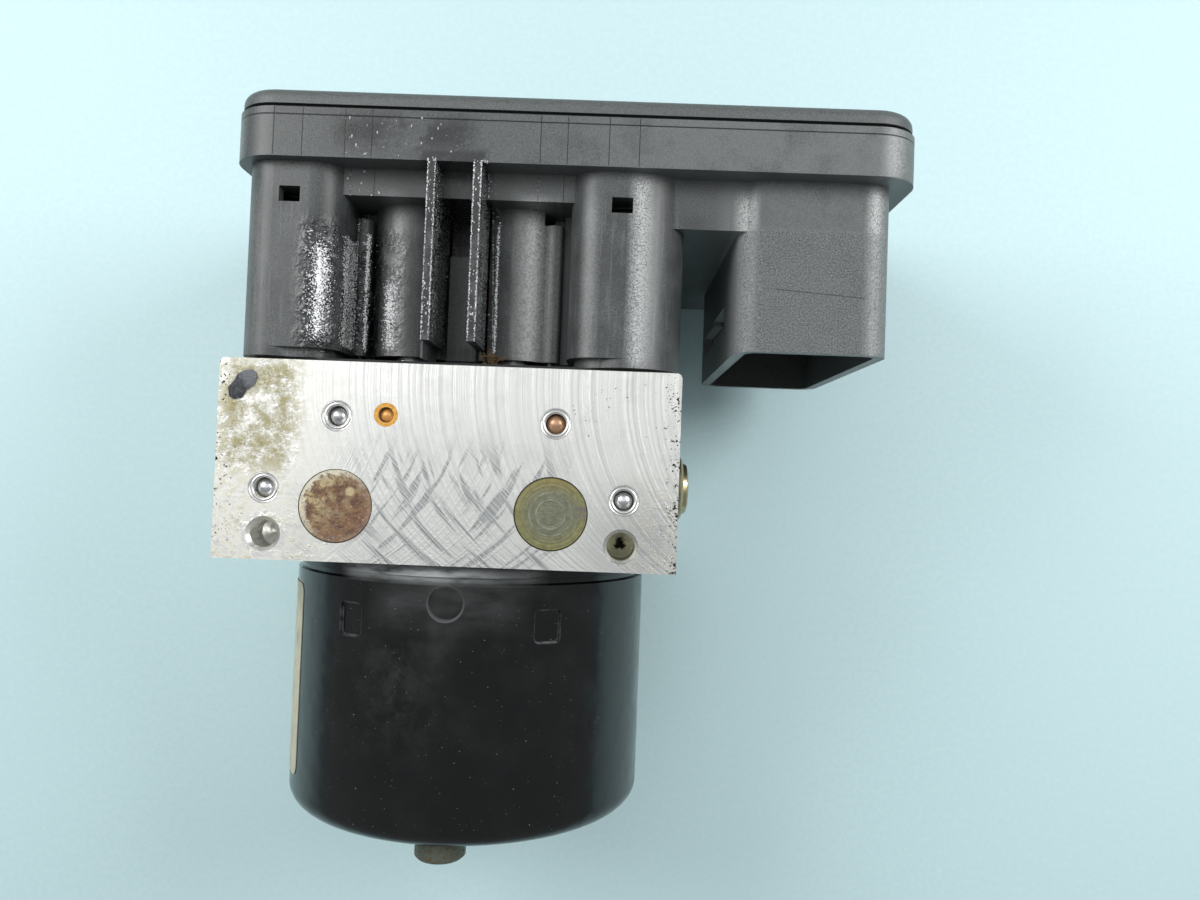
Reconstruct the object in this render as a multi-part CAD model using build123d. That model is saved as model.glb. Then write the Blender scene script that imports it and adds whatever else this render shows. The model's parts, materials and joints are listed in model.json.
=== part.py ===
"""ABS hydraulic unit: valve block, pump motor and control unit, lying on the block's port face.

X runs along the block, Y from the pump motor towards the control unit's lid, Z up out of the
machined face. The origin is the middle of the block's port face. All sizes are millimetres.
"""

import os
from math import cos, radians, sin, tan

from build123d import *

# Valve block
block_width = 100.0
block_height = 43.3
block_depth = 100.0
block_corner = 1.2
bore_shift = -0.5
seat_gap = 0.03
running_gap = 0.05

# Ball plugs, locating holes and accumulators in the machined face
ball_radius = 2.2
ball_stake_radius = 3.4
ball_stake_depth = 0.35
ball_sink = 0.5
ball_bore_depth = 9.0
upper_ball_x = 23.6
upper_ball_y = 9.8
lower_ball_x = 38.8
lower_ball_y = -6.2
small_ball_radius = 1.65
small_ball_x = -13.1
small_ball_y = 10.4
lacquer_radius = 2.6
lacquer_thickness = 0.3
locating_x = 38.5
locating_y = -16.1
locating_radius = 3.0
locating_depth = 8.0
locating_mouth = 3.75
accumulator_x = 23.2
accumulator_y = -9.65
accumulator_radius = 8.0
accumulator_depth = 34.0
accumulator_cap_thickness = 3.0
accumulator_piston_length = 9.0
accumulator_skirt = 5.0
accumulator_wire = 1.2

# Solenoid valves
coil_x_outer = 36.2
coil_x_inner = 12.2
coil_sink_outer = 11.0
coil_sink_inner = 19.5
valve_radius = 5.5
valve_bore_depth = 16.0
valve_dome_radius = 3.7
valve_dome_height = 24.0
valve_dome_wall = 0.5
valve_head_height = 3.0
plunger_length = 14.0
valve_stroke = 0.4
coil_radius = 8.0
coil_height = 21.0
coil_clearance = 0.4
coil_bobbin_flange = 1.5

# Pump
pump_y = -3.6
pump_bore_radius = 9.8
pump_plug_proud = 4.2
pump_dome_radius = 6.75
pump_dome_proud = 1.5
pump_plug_length = 8.0
pump_sleeve_radius = 8.0
pump_sleeve_length = 20.0
pump_piston_radius = 4.0
pump_piston_length = 24.0
pump_stroke = 2.2
pump_wire = 0.9
eccentric_throw = 1.1
eccentric_radius = 6.0
eccentric_width = 11.0
needle_ring_wall = 3.0
eccentric_chamber_radius = 12.0

# Pump motor
motor_x = 0.6
motor_sink = 46.0
can_radius = 44.1
can_length = 61.5
can_wall = 2.2
can_end_fillet = 4.5
can_groove_start = 2.6
can_groove_width = 1.2
can_groove_depth = 0.8
can_tab_angle = 30.0
can_tab_width = 6.4
can_tab_height = 7.4
can_tab_start = 9.6
can_tab_depth = 0.9
can_dimple_radius = 3.8
can_dimple_centre = 8.3
can_dimple_flat = 5.2
rear_boss_radius = 12.0
rear_boss_height = 4.0
motor_plate_thickness = 6.0
magnet_thickness = 8.0
magnet_length = 29.0
magnet_arc = 130.0
air_gap = 0.8
core_length = 22.0
core_slots = 10
slot_width = 5.0
slot_depth = 13.0
winding_head = 5.0
commutator_radius = 12.0
commutator_length = 12.0
shaft_radius = 4.0
bearing_radius = 9.5
bearing_width = 5.0
brush_width = 7.0
brush_height = 5.0
brush_length = 14.0
motor_screw_radius = 2.5
motor_screw_circle = 36.0
motor_screw_grip = 5.0
motor_screw_spread = 35.0
screw_clearance = 0.25
label_start = 7.7
label_end = 53.3
label_thickness = 0.15
label_top_angle = 32.5
label_low_angle = -50.0
label_corner = 2.5
peg_x = 0.0
peg_sink = 12.5
peg_radius = 5.75
peg_length = 4.8
contact_drop = 20.0
contact_bore_radius = 4.0
contact_spacing = 3.0
contact_width = 1.6
contact_thickness = 0.8
contact_slot_half = 1.4

# Hydraulic ports in the port face
outlet_radius = 4.5
outlet_x_outer = 37.5
outlet_x_inner = 12.5
outlet_y = 8.5
inlet_radius = 5.5
inlet_x = 22.0
inlet_y = -11.0
port_depth = 13.0
port_depth_step = 1.0
port_mouth = 0.8

# Control unit housing, heights measured from the block's top face
gasket_thickness = 0.8
foot_height = 2.8
foot_inset = 1.6
floor_low = 32.4
wall_low = 37.4
rim_low = 43.4
rim_high = 54.1
unit_width = 150.2
rim_lead = 3.0
rim_corner = 10.0
side_step = 2.7
wall_sink = 4.0
wall_end_x = 44.0
floor_thickness = 2.2
housing_wall = 2.4
housing_depth = 86.0
lobe_left_end = -25.5
lobe_right_start = 24.5
lobe_corner = 7.0
lobe_end_corner = 11.6
inner_lobe_sink = 10.0
inner_lobe_radius = 9.5
valley_sink = 16.0
post_radius = 2.2
post_x_left = -23.7
post_x_right = 20.4
post_sink = 12.0
panel_sink = 14.0
panel_half_width = 6.5
rib_thickness = 1.9
rib_spacing = 9.85
rib_foot = 4.9
fin_thickness = 0.5
opening_half_width = 4.0
opening_low = 27.2
opening_depth = 12.0
window_width = 4.6
window_height = 3.4
window_high = 37.8
window_depth = 8.0
chamber_half_width = 36.0
chamber_depth = 23.0

# Connector shroud
connector_left = 61.7
connector_width = 33.8
connector_sink = 2.4
connector_depth = 79.6
connector_corner = 6.0
connector_wall = 2.6
connector_mouth = 5.7
connector_floor = 30.0
pin_size = 0.8
pin_columns = 12
pin_rows = 3
pin_edge = 6.5
pin_row_pitch = 6.0
pin_length = 10.0
blade_width = 4.8
blade_pitch = 8.0
blade_margin = 9.0
blade_room = 13.5
guide_low = 13.5
guide_height = 5.0
guide_step = 1.2
guide_start = 26.5
guide_length = 22.5

# Lid, circuit board and what it carries
lid_gap = 0.9
lid_thickness = 3.6
lid_inset = 0.5
lid_edge = 2.4
lid_step = 1.8
lid_tongue = 1.5
board_thickness = 1.6
board_height = 44.2
board_clearance = 0.6
board_post_radius = 3.0
relay_width = 26.0
relay_thickness = 15.0
relay_height = 24.0
unit_screw_x = 40.5
unit_screw_spacing = 16.0
unit_screw_radius = 1.9
unit_screw_thread = 8.0

# Places worked out from the sizes above
face = block_depth
top = block_height / 2
foot = -block_height / 2
half = block_width / 2
axis_z = face - motor_sink
unit_left = -half
unit_right = unit_left + unit_width
housing_left = unit_left + side_step
housing_back = face - housing_depth
housing_middle = face - housing_depth / 2
connector_right = connector_left + connector_width
connector_front = face - connector_sink
pan_front = face - wall_sink
pin_span = connector_depth - pin_edge - blade_margin - blade_room
pin_pitch = pin_span / (pin_columns - 1)
coil_places = [
    (bore_shift + side * x, housing_middle + row * (housing_depth / 2 - sink))
    for row in (1, -1)
    for x, sink in ((coil_x_outer, coil_sink_outer), (coil_x_inner, coil_sink_inner))
    for side in (-1, 1)
]
screw_angles = (90.0, 270.0 - motor_screw_spread, 270.0 + motor_screw_spread)
motor_screw_places = [
    (motor_x + motor_screw_circle * cos(radians(a)), axis_z + motor_screw_circle * sin(radians(a)))
    for a in screw_angles
]
unit_screw_places = [
    (side * unit_screw_x, housing_middle + row * unit_screw_spacing / 2)
    for side in (-1, 1)
    for row in (-1, 1)
]
contact_z = axis_z - contact_drop
contact_rows = [contact_z - contact_spacing / 2, contact_z + contact_spacing / 2]
ring_radius = eccentric_radius + running_gap + needle_ring_wall
board_low = top + board_height
rib_places = [bore_shift - rib_spacing / 2, bore_shift + rib_spacing / 2]


def brick(x0, x1, y0, y1, z0, z1):
    """A box between two corners."""
    return Pos((x0 + x1) / 2, (y0 + y1) / 2, (z0 + z1) / 2) * Box(x1 - x0, y1 - y0, z1 - z0)


def rod_x(y, z, radius, low, high):
    """A round bar along X."""
    return Pos((low + high) / 2, y, z) * Rot(0, 90, 0) * Cylinder(radius, high - low)


def rod_y(x, z, radius, low, high):
    """A round bar along Y."""
    return Pos(x, (low + high) / 2, z) * Rot(90, 0, 0) * Cylinder(radius, high - low)


def rod_z(x, y, radius, low, high):
    """A round bar along Z."""
    return Pos(x, y, (low + high) / 2) * Cylinder(radius, high - low)


def rise(plan, low, high):
    """A plan drawn in X and Z, raised from one Y to another."""
    return extrude(Plane.XZ.offset(-high) * plan, amount=high - low)


def plan_rectangle(x0, x1, z0, z1, corner=0.0):
    """A rectangle in X and Z, with round corners where a radius is given."""
    if corner > 0:
        shape = RectangleRounded(x1 - x0, z1 - z0, corner)
    else:
        shape = Rectangle(x1 - x0, z1 - z0)
    return Pos((x0 + x1) / 2, (z0 + z1) / 2) * shape


def turned(points, x, z):
    """A body of revolution about a line along Y through x, z, from its half section."""
    section = make_face(Polyline(*points, close=True))
    return Pos(x, 0, z) * revolve(section, Axis.Y)


def coil_spring(mean_radius, wire, length, turns):
    """A helical spring along Z from zero, made of square wire with room at both ends."""
    rise_per_turn = (length - wire) / turns
    path = Helix(rise_per_turn, length - wire, mean_radius)
    start = Plane(origin=path @ 0, z_dir=path % 0, x_dir=(1, 0, 0))
    return Pos(0, 0, wire / 2) * sweep(start * Rectangle(wire, wire), path, is_frenet=True)


def valve_block():
    """The aluminium block with every bore that opens in its faces."""
    body = brick(-half, half, foot, top, 0, face)
    upper = body.edges().filter_by(Axis.Z).sort_by(Axis.Y)[-2:]
    body = fillet(upper, block_corner)
    for side in (-1, 1):
        x = bore_shift + side * accumulator_x
        body -= rod_z(x, accumulator_y, accumulator_radius, face - accumulator_depth, face + 1)
        for ball_x, ball_y in ((upper_ball_x, upper_ball_y), (lower_ball_x, lower_ball_y)):
            x = bore_shift + side * ball_x
            body -= rod_z(x, ball_y, ball_radius + seat_gap, face - ball_bore_depth, face + 1)
            body -= rod_z(x, ball_y, ball_stake_radius, face - ball_stake_depth, face + 1)
        x = bore_shift + side * locating_x
        tip = locating_radius * tan(radians(31))
        body -= rod_z(x, locating_y, locating_radius, face - locating_depth, face + 1)
        cone = Cone(0, locating_radius, tip)
        body -= Pos(x, locating_y, face - locating_depth - tip / 2) * cone
        chamfer_height = locating_mouth - locating_radius
        mouth = Cone(locating_radius, locating_mouth, chamfer_height)
        body -= Pos(x, locating_y, face - chamfer_height / 2) * mouth
    x = bore_shift + small_ball_x
    body -= rod_z(x, small_ball_y, small_ball_radius + seat_gap, face - ball_bore_depth, face + 1)
    body -= rod_z(x, small_ball_y, lacquer_radius, face - lacquer_thickness, face + 1)
    for x, z in coil_places:
        body -= rod_y(x, z, valve_radius, top - valve_bore_depth, top + 1)
    body -= rod_x(pump_y, axis_z, pump_bore_radius, -half - 1, half + 1)
    chamber_end = pump_y + pump_bore_radius + 1.0
    body -= rod_y(motor_x, axis_z, eccentric_chamber_radius, foot - 1, chamber_end)
    for x, z in motor_screw_places:
        body -= rod_y(x, z, motor_screw_radius + screw_clearance, foot - 1, top + 1)
        body -= rod_y(x, z, 2 * motor_screw_radius, top - 2 * motor_screw_radius, top + 1)
    for x, z in unit_screw_places:
        body -= rod_y(x, z, unit_screw_radius + seat_gap, top - unit_screw_thread - 1, top + 1)
    body -= rod_y(motor_x, contact_z, contact_bore_radius, foot - 1, top + 1)
    for index, (x, y, radius) in enumerate(port_places()):
        body -= rod_z(x, y, radius, -1, port_depth + index * port_depth_step)
        body -= Pos(x, y, port_mouth / 2) * Cone(radius + port_mouth, radius, port_mouth)
    return body


def port_places():
    """Four outlet ports in a row over two inlet ports, each drilled deeper than the one before."""
    outlets = [
        (x, outlet_y, outlet_radius)
        for x in (-outlet_x_outer, -outlet_x_inner, outlet_x_inner, outlet_x_outer)
    ]
    return outlets + [(side * inlet_x, inlet_y, inlet_radius) for side in (-1, 1)]


def ball(x, y, radius):
    """A steel ball pressed just under the machined face."""
    return Pos(x, y, face - ball_sink - radius) * Sphere(radius)


def accumulator(side):
    """Cap, piston and spring of one low pressure accumulator."""
    x = bore_shift + side * accumulator_x
    low = face - accumulator_depth
    cap_low = face - accumulator_cap_thickness
    cap = rod_z(x, accumulator_y, accumulator_radius - seat_gap, cap_low, face)
    cap = chamfer(cap.edges().sort_by(Axis.Z)[-1], 0.3)
    piston_radius = accumulator_radius - running_gap
    piston_low = low + 0.4
    piston_high = piston_low + accumulator_piston_length
    piston = rod_z(x, accumulator_y, piston_radius, piston_low, piston_high)
    spring_low = piston_high - accumulator_skirt
    piston -= rod_z(x, accumulator_y, piston_radius - 1.8, spring_low, piston_high)
    length = cap_low - spring_low
    spring = coil_spring(piston_radius - 1.8 - accumulator_wire, accumulator_wire, length, 4)
    return cap, piston, Pos(x, accumulator_y, spring_low) * spring


def valve_body(x, z):
    """A turned valve: stem in the block, head, and the closed sleeve that the plunger runs in."""
    low = top - valve_bore_depth + 0.5
    head = top + valve_head_height
    high = top + valve_dome_height
    body = rod_y(x, z, valve_radius - seat_gap, low, top)
    body += rod_y(x, z, valve_dome_radius + 1.2, top, head)
    body += rod_y(x, z, valve_dome_radius, head, high)
    body = fillet(body.edges().filter_by(GeomType.CIRCLE).sort_by(Axis.Y)[-1], 1.2)
    bore = valve_dome_radius - valve_dome_wall
    body -= rod_y(x, z, bore, plunger_low(), high - 2 * valve_dome_wall)
    body -= rod_y(x, z, valve_dome_wall, low - 1, plunger_low())
    return body


def plunger_low():
    """Where a valve's bore starts."""
    return top + valve_dome_height - 2 * valve_dome_wall - plunger_length - 2 * valve_stroke


def valve_plunger(x, z, is_open):
    """The plunger that the coil pulls: an open valve's rests high, a closed valve's rests low."""
    radius = valve_dome_radius - valve_dome_wall - running_gap
    low = plunger_low() + valve_stroke / 2
    if is_open:
        low += valve_stroke
    return rod_y(x, z, radius, low, low + plunger_length)


def coils():
    """Eight wound bobbins, each round the sleeve of a valve."""
    low = top + valve_head_height + coil_clearance
    high = low + coil_height
    group = []
    for x, z in coil_places:
        waist = coil_bobbin_flange
        coil = rod_y(x, z, coil_radius - 0.6, low + waist, high - waist)
        coil += rod_y(x, z, coil_radius, low, low + waist)
        coil += rod_y(x, z, coil_radius, high - waist, high)
        coil -= rod_y(x, z, valve_dome_radius + running_gap, low - 1, high + 1)
        group.append(coil)
    return Compound(children=group)


def pump_plug(side):
    """The steel plug that closes a pump bore, a flat collar with a low dome."""
    inner = half - pump_plug_length
    collar = half + pump_plug_proud
    plug = turned_x(
        [
            (inner, 0),
            (inner, pump_bore_radius - seat_gap),
            (half + 0.4 * pump_plug_proud, pump_bore_radius - seat_gap),
            (collar - 0.6, pump_bore_radius - 1.4),
            (collar, pump_dome_radius + 0.8),
            (collar, pump_dome_radius),
            (collar + pump_dome_proud - 0.4, pump_dome_radius - 0.4),
            (collar + pump_dome_proud, pump_dome_radius - 1.6),
            (collar + pump_dome_proud, 0),
        ],
        side,
    )
    return plug


def turned_x(points, side):
    """A body of revolution about the pump axis, given as distance from the middle and radius."""
    section = make_face(Polyline(*[(side * x, r) for x, r in points], close=True))
    return Pos(0, pump_y, axis_z) * revolve(section, Axis.X)


def pump_piston_start():
    """Where a pump piston meets the ring at the ring's furthest reach."""
    return ring_radius + eccentric_throw + running_gap


def pump_piston(side):
    """A pump piston with a collar for its return spring."""
    start = pump_piston_start()
    end = start + pump_piston_length
    piston = turned_x(
        [
            (start, 0),
            (start, pump_piston_radius),
            (end, pump_piston_radius),
            (end, 0),
        ],
        side,
    )
    return Pos(motor_x, 0, 0) * piston


def pump_sleeve(side):
    """The sleeve that guides a pump piston, pressed against the plug."""
    high = half - pump_plug_length
    low = high - pump_sleeve_length
    sleeve = turned_x(
        [
            (low, pump_piston_radius + running_gap),
            (low, pump_sleeve_radius),
            (low + 6, pump_sleeve_radius),
            (low + 6, pump_bore_radius - seat_gap),
            (high, pump_bore_radius - seat_gap),
            (high, pump_piston_radius + running_gap + 1.5),
            (high - 9, pump_piston_radius + running_gap + 1.5),
            (high - 9, pump_piston_radius + running_gap),
        ],
        side,
    )
    return sleeve


def pump_spring(side):
    """The return spring behind a pump piston, at the piston's outer stop."""
    end = motor_x * side + pump_piston_start() + pump_piston_length + pump_stroke + running_gap
    high = half - pump_plug_length
    spring = coil_spring(pump_piston_radius - pump_wire, pump_wire, high - end, 3)
    place = Pos(side * end, pump_y, axis_z) * Rot(0, side * 90, 0)
    return place * spring


def can_section():
    """Half section of the motor can, from its open end at the block to its closed end."""
    r = can_radius
    low = foot - can_length
    groove = foot - can_groove_start
    inner = r - can_wall
    boss = rear_boss_radius
    return [
        (r, foot),
        (r, groove),
        (r - can_groove_depth, groove - 0.2),
        (r - can_groove_depth, groove - can_groove_width),
        (r, groove - can_groove_width - 0.4),
        (r, low),
        (boss, low),
        (boss - 1, low - rear_boss_height),
        (0, low - rear_boss_height),
        (0, low - rear_boss_height + can_wall),
        (bearing_radius + seat_gap, low - rear_boss_height + can_wall),
        (bearing_radius + seat_gap, low + can_wall),
        (inner, low + can_wall),
        (inner, foot),
    ]


def motor_can():
    """The drawn steel can with its embossed tabs and dimple."""
    can = turned(can_section(), motor_x, axis_z)
    low = foot - can_length
    rim = [
        e
        for e in can.edges().filter_by(GeomType.CIRCLE)
        if abs(e.center().Y - low) < 0.01 and abs(e.radius - can_radius) < 0.01
    ]
    can = fillet(rim, can_end_fillet)
    for side in (-1, 1):
        pocket = brick(
            -can_tab_width / 2,
            can_tab_width / 2,
            foot - can_tab_start - can_tab_height,
            foot - can_tab_start,
            can_radius - can_tab_depth,
            can_radius + 1,
        )
        pocket = fillet(pocket.edges().filter_by(Axis.Z), 1.0)
        can -= Pos(motor_x, 0, axis_z) * Rot(0, side * can_tab_angle, 0) * pocket
    dimple_y = foot - can_dimple_centre
    dimple = rod_z(motor_x, dimple_y, can_dimple_radius, face - motor_sink + can_radius - 1.3, face + 2)
    reach = 2 * can_dimple_radius
    dimple &= brick(
        motor_x - reach, motor_x + reach, dimple_y - reach, foot - can_dimple_flat, 0, face + 3
    )
    return can - dimple


def motor_plate():
    """The end plate in the can's mouth, with its bearing seat and the brush slots."""
    high = foot
    low = foot - motor_plate_thickness
    plate = rod_y(motor_x, axis_z, can_radius - can_wall - seat_gap, low, high)
    plate -= rod_y(motor_x, axis_z, shaft_radius + 1.5, low - 1, high + 1)
    plate -= rod_y(motor_x, axis_z, bearing_radius + seat_gap, high - bearing_width, high + 1)
    for x, z in motor_screw_places:
        plate -= rod_y(x, z, motor_screw_radius + seat_gap, high - motor_screw_grip, high + 1)
    for z in contact_rows:
        plate -= contact_blade(z, seat_gap, high - 3, high + 1)
    for side in (-1, 1):
        box = brush_box(side, 0.8)
        plate += box - brush_box(side, 0.0)
    return plate


def commutator_high():
    """The commutator's end next to the motor plate."""
    return foot - motor_plate_thickness - 2.0


def brush_box(side, wall):
    """The room of one brush, or its holder's outside where a wall is given."""
    middle = commutator_high() - commutator_length / 2
    start = commutator_radius + 1.5
    x0 = motor_x + side * start
    x1 = motor_x + side * (start + brush_length + 2.0)
    high = foot - motor_plate_thickness if wall > 0 else middle + brush_height / 2 + seat_gap
    return brick(
        min(x0, x1),
        max(x0, x1),
        middle - brush_height / 2 - seat_gap - wall,
        high,
        axis_z - brush_width / 2 - seat_gap - wall,
        axis_z + brush_width / 2 + seat_gap + wall,
    )


def brush(side):
    """A carbon brush that bears on the commutator."""
    middle = commutator_high() - commutator_length / 2
    x0 = motor_x + side * (commutator_radius - 1)
    x1 = motor_x + side * (commutator_radius + brush_length)
    block = brick(
        min(x0, x1),
        max(x0, x1),
        middle - brush_height / 2,
        middle + brush_height / 2,
        axis_z - brush_width / 2,
        axis_z + brush_width / 2,
    )
    gap = running_gap
    return block - rod_y(motor_x, axis_z, commutator_radius + gap, middle - 20, middle + 20)


def core_span():
    """Low and high end of the armature core."""
    high = commutator_high() - commutator_length - winding_head - 1.0
    return high - core_length, high


def core_radius():
    """The armature core's outside radius, inside the magnets."""
    return can_radius - can_wall - seat_gap - magnet_thickness - air_gap


def magnet(side):
    """One of the two field magnets, an arc held in the can."""
    low, high = core_span()
    middle = (low + high) / 2
    outer = can_radius - can_wall - seat_gap
    ring = rod_y(motor_x, axis_z, outer, middle - magnet_length / 2, middle + magnet_length / 2)
    ring -= rod_y(motor_x, axis_z, outer - magnet_thickness, foot - can_length, foot)
    reach = 2 * can_radius
    keep = plan_rectangle(min(0, side * reach), max(0, side * reach), -reach, reach)
    corner = reach * tan(radians(90 - magnet_arc / 2))
    for way in (-1, 1):
        off = Polyline((0, 0), (side * corner, way * reach), (0, way * reach), close=True)
        keep -= make_face(off)
    return ring & (Pos(motor_x, 0, axis_z) * rise(keep, foot - can_length, foot))


def armature_core():
    """The laminated core with its open slots."""
    low, high = core_span()
    core = rod_y(motor_x, axis_z, core_radius(), low, high)
    core -= rod_y(motor_x, axis_z, shaft_radius + seat_gap, low - 1, high + 1)
    for step in range(core_slots):
        slot = brick(
            core_radius() - slot_depth, core_radius() + 1, low - 1, high + 1, -slot_width / 2, slot_width / 2
        )
        core -= Pos(motor_x, 0, axis_z) * Rot(0, step * 360 / core_slots, 0) * slot
    return core


def armature_windings():
    """The copper in the slots, joined by a ring of end turns at each end."""
    low, high = core_span()
    outer = core_radius() - 2
    inner = core_radius() - slot_depth + seat_gap
    side = slot_width / 2 - seat_gap
    winding = None
    for step in range(core_slots):
        bar = brick(inner, outer, low - 1.5, high + 1.5, -side, side)
        bar = Pos(motor_x, 0, axis_z) * Rot(0, step * 360 / core_slots, 0) * bar
        winding = bar if winding is None else winding + bar
    for start, end in ((low - winding_head, low - seat_gap), (high + seat_gap, high + winding_head)):
        ring = rod_y(motor_x, axis_z, outer, start, end)
        ring -= rod_y(motor_x, axis_z, shaft_radius + 3.0, start - 1, end + 1)
        winding += ring
    return winding


def commutator():
    """The copper commutator on the shaft."""
    high = commutator_high()
    body = rod_y(motor_x, axis_z, commutator_radius, high - commutator_length, high)
    return body - rod_y(motor_x, axis_z, shaft_radius + seat_gap, high - commutator_length - 1, high + 1)


def shaft_ends():
    """Low and high end of the motor shaft."""
    low = foot - can_length - rear_boss_height + can_wall + 0.6
    return low, pump_y + eccentric_width / 2 + 1.0


def motor_shaft():
    """The motor shaft with its eccentric, turned from one bar."""
    low, high = shaft_ends()
    shaft = rod_y(motor_x, axis_z, shaft_radius, low, high)
    eccentric_low = pump_y - eccentric_width / 2
    eccentric_high = pump_y + eccentric_width / 2
    eccentric_z = axis_z + eccentric_throw
    shaft += rod_y(motor_x, eccentric_z, eccentric_radius, eccentric_low, eccentric_high)
    return shaft


def needle_ring():
    """The ring on the eccentric that drives both pump pistons."""
    low = pump_y - eccentric_width / 2 + 0.5
    high = pump_y + eccentric_width / 2 - 0.5
    z = axis_z + eccentric_throw
    ring = rod_y(motor_x, z, ring_radius, low, high)
    return ring - rod_y(motor_x, z, eccentric_radius + running_gap, low - 1, high + 1)


def bearing(low, high):
    """A ball bearing, closed on both sides."""
    ring = rod_y(motor_x, axis_z, bearing_radius, low, high)
    return ring - rod_y(motor_x, axis_z, shaft_radius + running_gap, low - 1, high + 1)


def motor_screws():
    """Three screws through the block into the motor plate."""
    head = 2 * motor_screw_radius - screw_clearance
    group = []
    for x, z in motor_screw_places:
        seat = top - 2 * motor_screw_radius
        screw = rod_y(x, z, motor_screw_radius, foot - motor_screw_grip + 0.5, seat)
        screw += rod_y(x, z, head, seat, top - 0.4)
        screw -= rod_y(x, z, motor_screw_radius, top - 2.0, top)
        group.append(screw)
    return Compound(children=group)


def contact_blade(z, gap, low, high):
    """A flat contact blade along Y, or its slot where a gap is given."""
    x = contact_thickness / 2 + gap
    reach = contact_width / 2 + gap
    return brick(motor_x - x, motor_x + x, low, high, z - reach, z + reach)


def motor_contacts():
    """Two blades from the circuit board through the block into the motor plate."""
    return Compound(children=[contact_blade(z, 0, foot - 2.5, board_low) for z in contact_rows])


def motor_label():
    """The bare label strip wrapped round the can."""
    low = foot - label_end
    high = foot - label_start
    inner = can_radius + seat_gap
    ring = rod_y(motor_x, axis_z, inner + label_thickness, low, high)
    ring -= rod_y(motor_x, axis_z, inner, low - 1, high + 1)
    reach = 2 * can_radius
    high_edge = (-reach * cos(radians(label_top_angle)), reach * sin(radians(label_top_angle)))
    low_edge = (-reach * cos(radians(label_low_angle)), reach * sin(radians(label_low_angle)))
    far = (-2 * reach, 0)
    wedge = make_face(Polyline((0, 0), high_edge, far, low_edge, close=True))
    strip = ring & (Pos(motor_x, 0, axis_z) * rise(wedge, low - 1, high + 1))
    corners = [e for e in strip.edges().filter_by(GeomType.LINE) if e.length < 2 * label_thickness]
    return fillet(corners, label_corner)


def mounting_peg():
    """The steel peg on the can's end that sits in a rubber bush of the bracket."""
    base = foot - can_length
    peg = rod_y(peg_x, face - peg_sink, peg_radius, base - peg_length, base)
    return chamfer(peg.edges().filter_by(GeomType.CIRCLE).sort_by(Axis.Y)[0], 0.6)


def right_lobe(inset):
    """Plan of the right outer lobe, rounder at its outer corners."""
    x0 = lobe_right_start + inset
    x1 = half - inset
    plan = plan_rectangle(x0, x1, housing_back + inset, face - inset)
    corners = plan.vertices().sort_by(Axis.X)
    plan = fillet(corners[:2], lobe_corner)
    corners = plan.vertices().sort_by(Axis.X)
    outer = [v for v in corners if abs(v.X - x1) < 0.01]
    return fillet(outer, lobe_end_corner - inset)


def housing_plan(inset):
    """Plan of the valve housing: outer lobes, round inner lobes and a post between each two."""
    low = housing_back + valley_sink + inset
    high = face - valley_sink - inset
    plan = plan_rectangle(housing_left + lobe_corner, half - lobe_end_corner, low, high)
    plan += plan_rectangle(
        housing_left + inset, lobe_left_end - inset, housing_back + inset, face - inset, lobe_corner - inset
    )
    plan += right_lobe(inset)
    for row in (-1, 1):
        for side in (-1, 1):
            z = housing_middle + row * (housing_depth / 2 - inner_lobe_sink - inner_lobe_radius)
            plan += Pos(bore_shift + side * coil_x_inner, z) * Circle(inner_lobe_radius - inset)
        post_z = housing_middle + row * (housing_depth / 2 - post_sink - post_radius)
        for x in (post_x_left, post_x_right):
            plan += Pos(x, post_z) * Circle(post_radius - inset)
            web = post_z - row * post_radius * 2
            plan += plan_rectangle(
                x - post_radius + inset, x + post_radius - inset, min(post_z, web), max(post_z, web)
            )
        panel = housing_middle + row * (housing_depth / 2 - panel_sink - inset)
        far = housing_middle + row * housing_depth
        plan -= plan_rectangle(
            bore_shift - panel_half_width - inset,
            bore_shift + panel_half_width + inset,
            min(panel, far),
            max(panel, far),
        )
    return plan


def pin_places():
    """Centres of the connector's small pins and of its two supply blades."""
    middle_x = (connector_left + connector_right) / 2
    small = [
        (
            middle_x + (row - (pin_rows - 1) / 2) * pin_row_pitch,
            connector_front - pin_edge - column * pin_pitch,
        )
        for row in range(pin_rows)
        for column in range(pin_columns)
    ]
    blade_z = connector_front - connector_depth + blade_margin
    blades = [(middle_x + side * blade_pitch / 2, blade_z) for side in (-1, 1)]
    return small, blades


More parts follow.
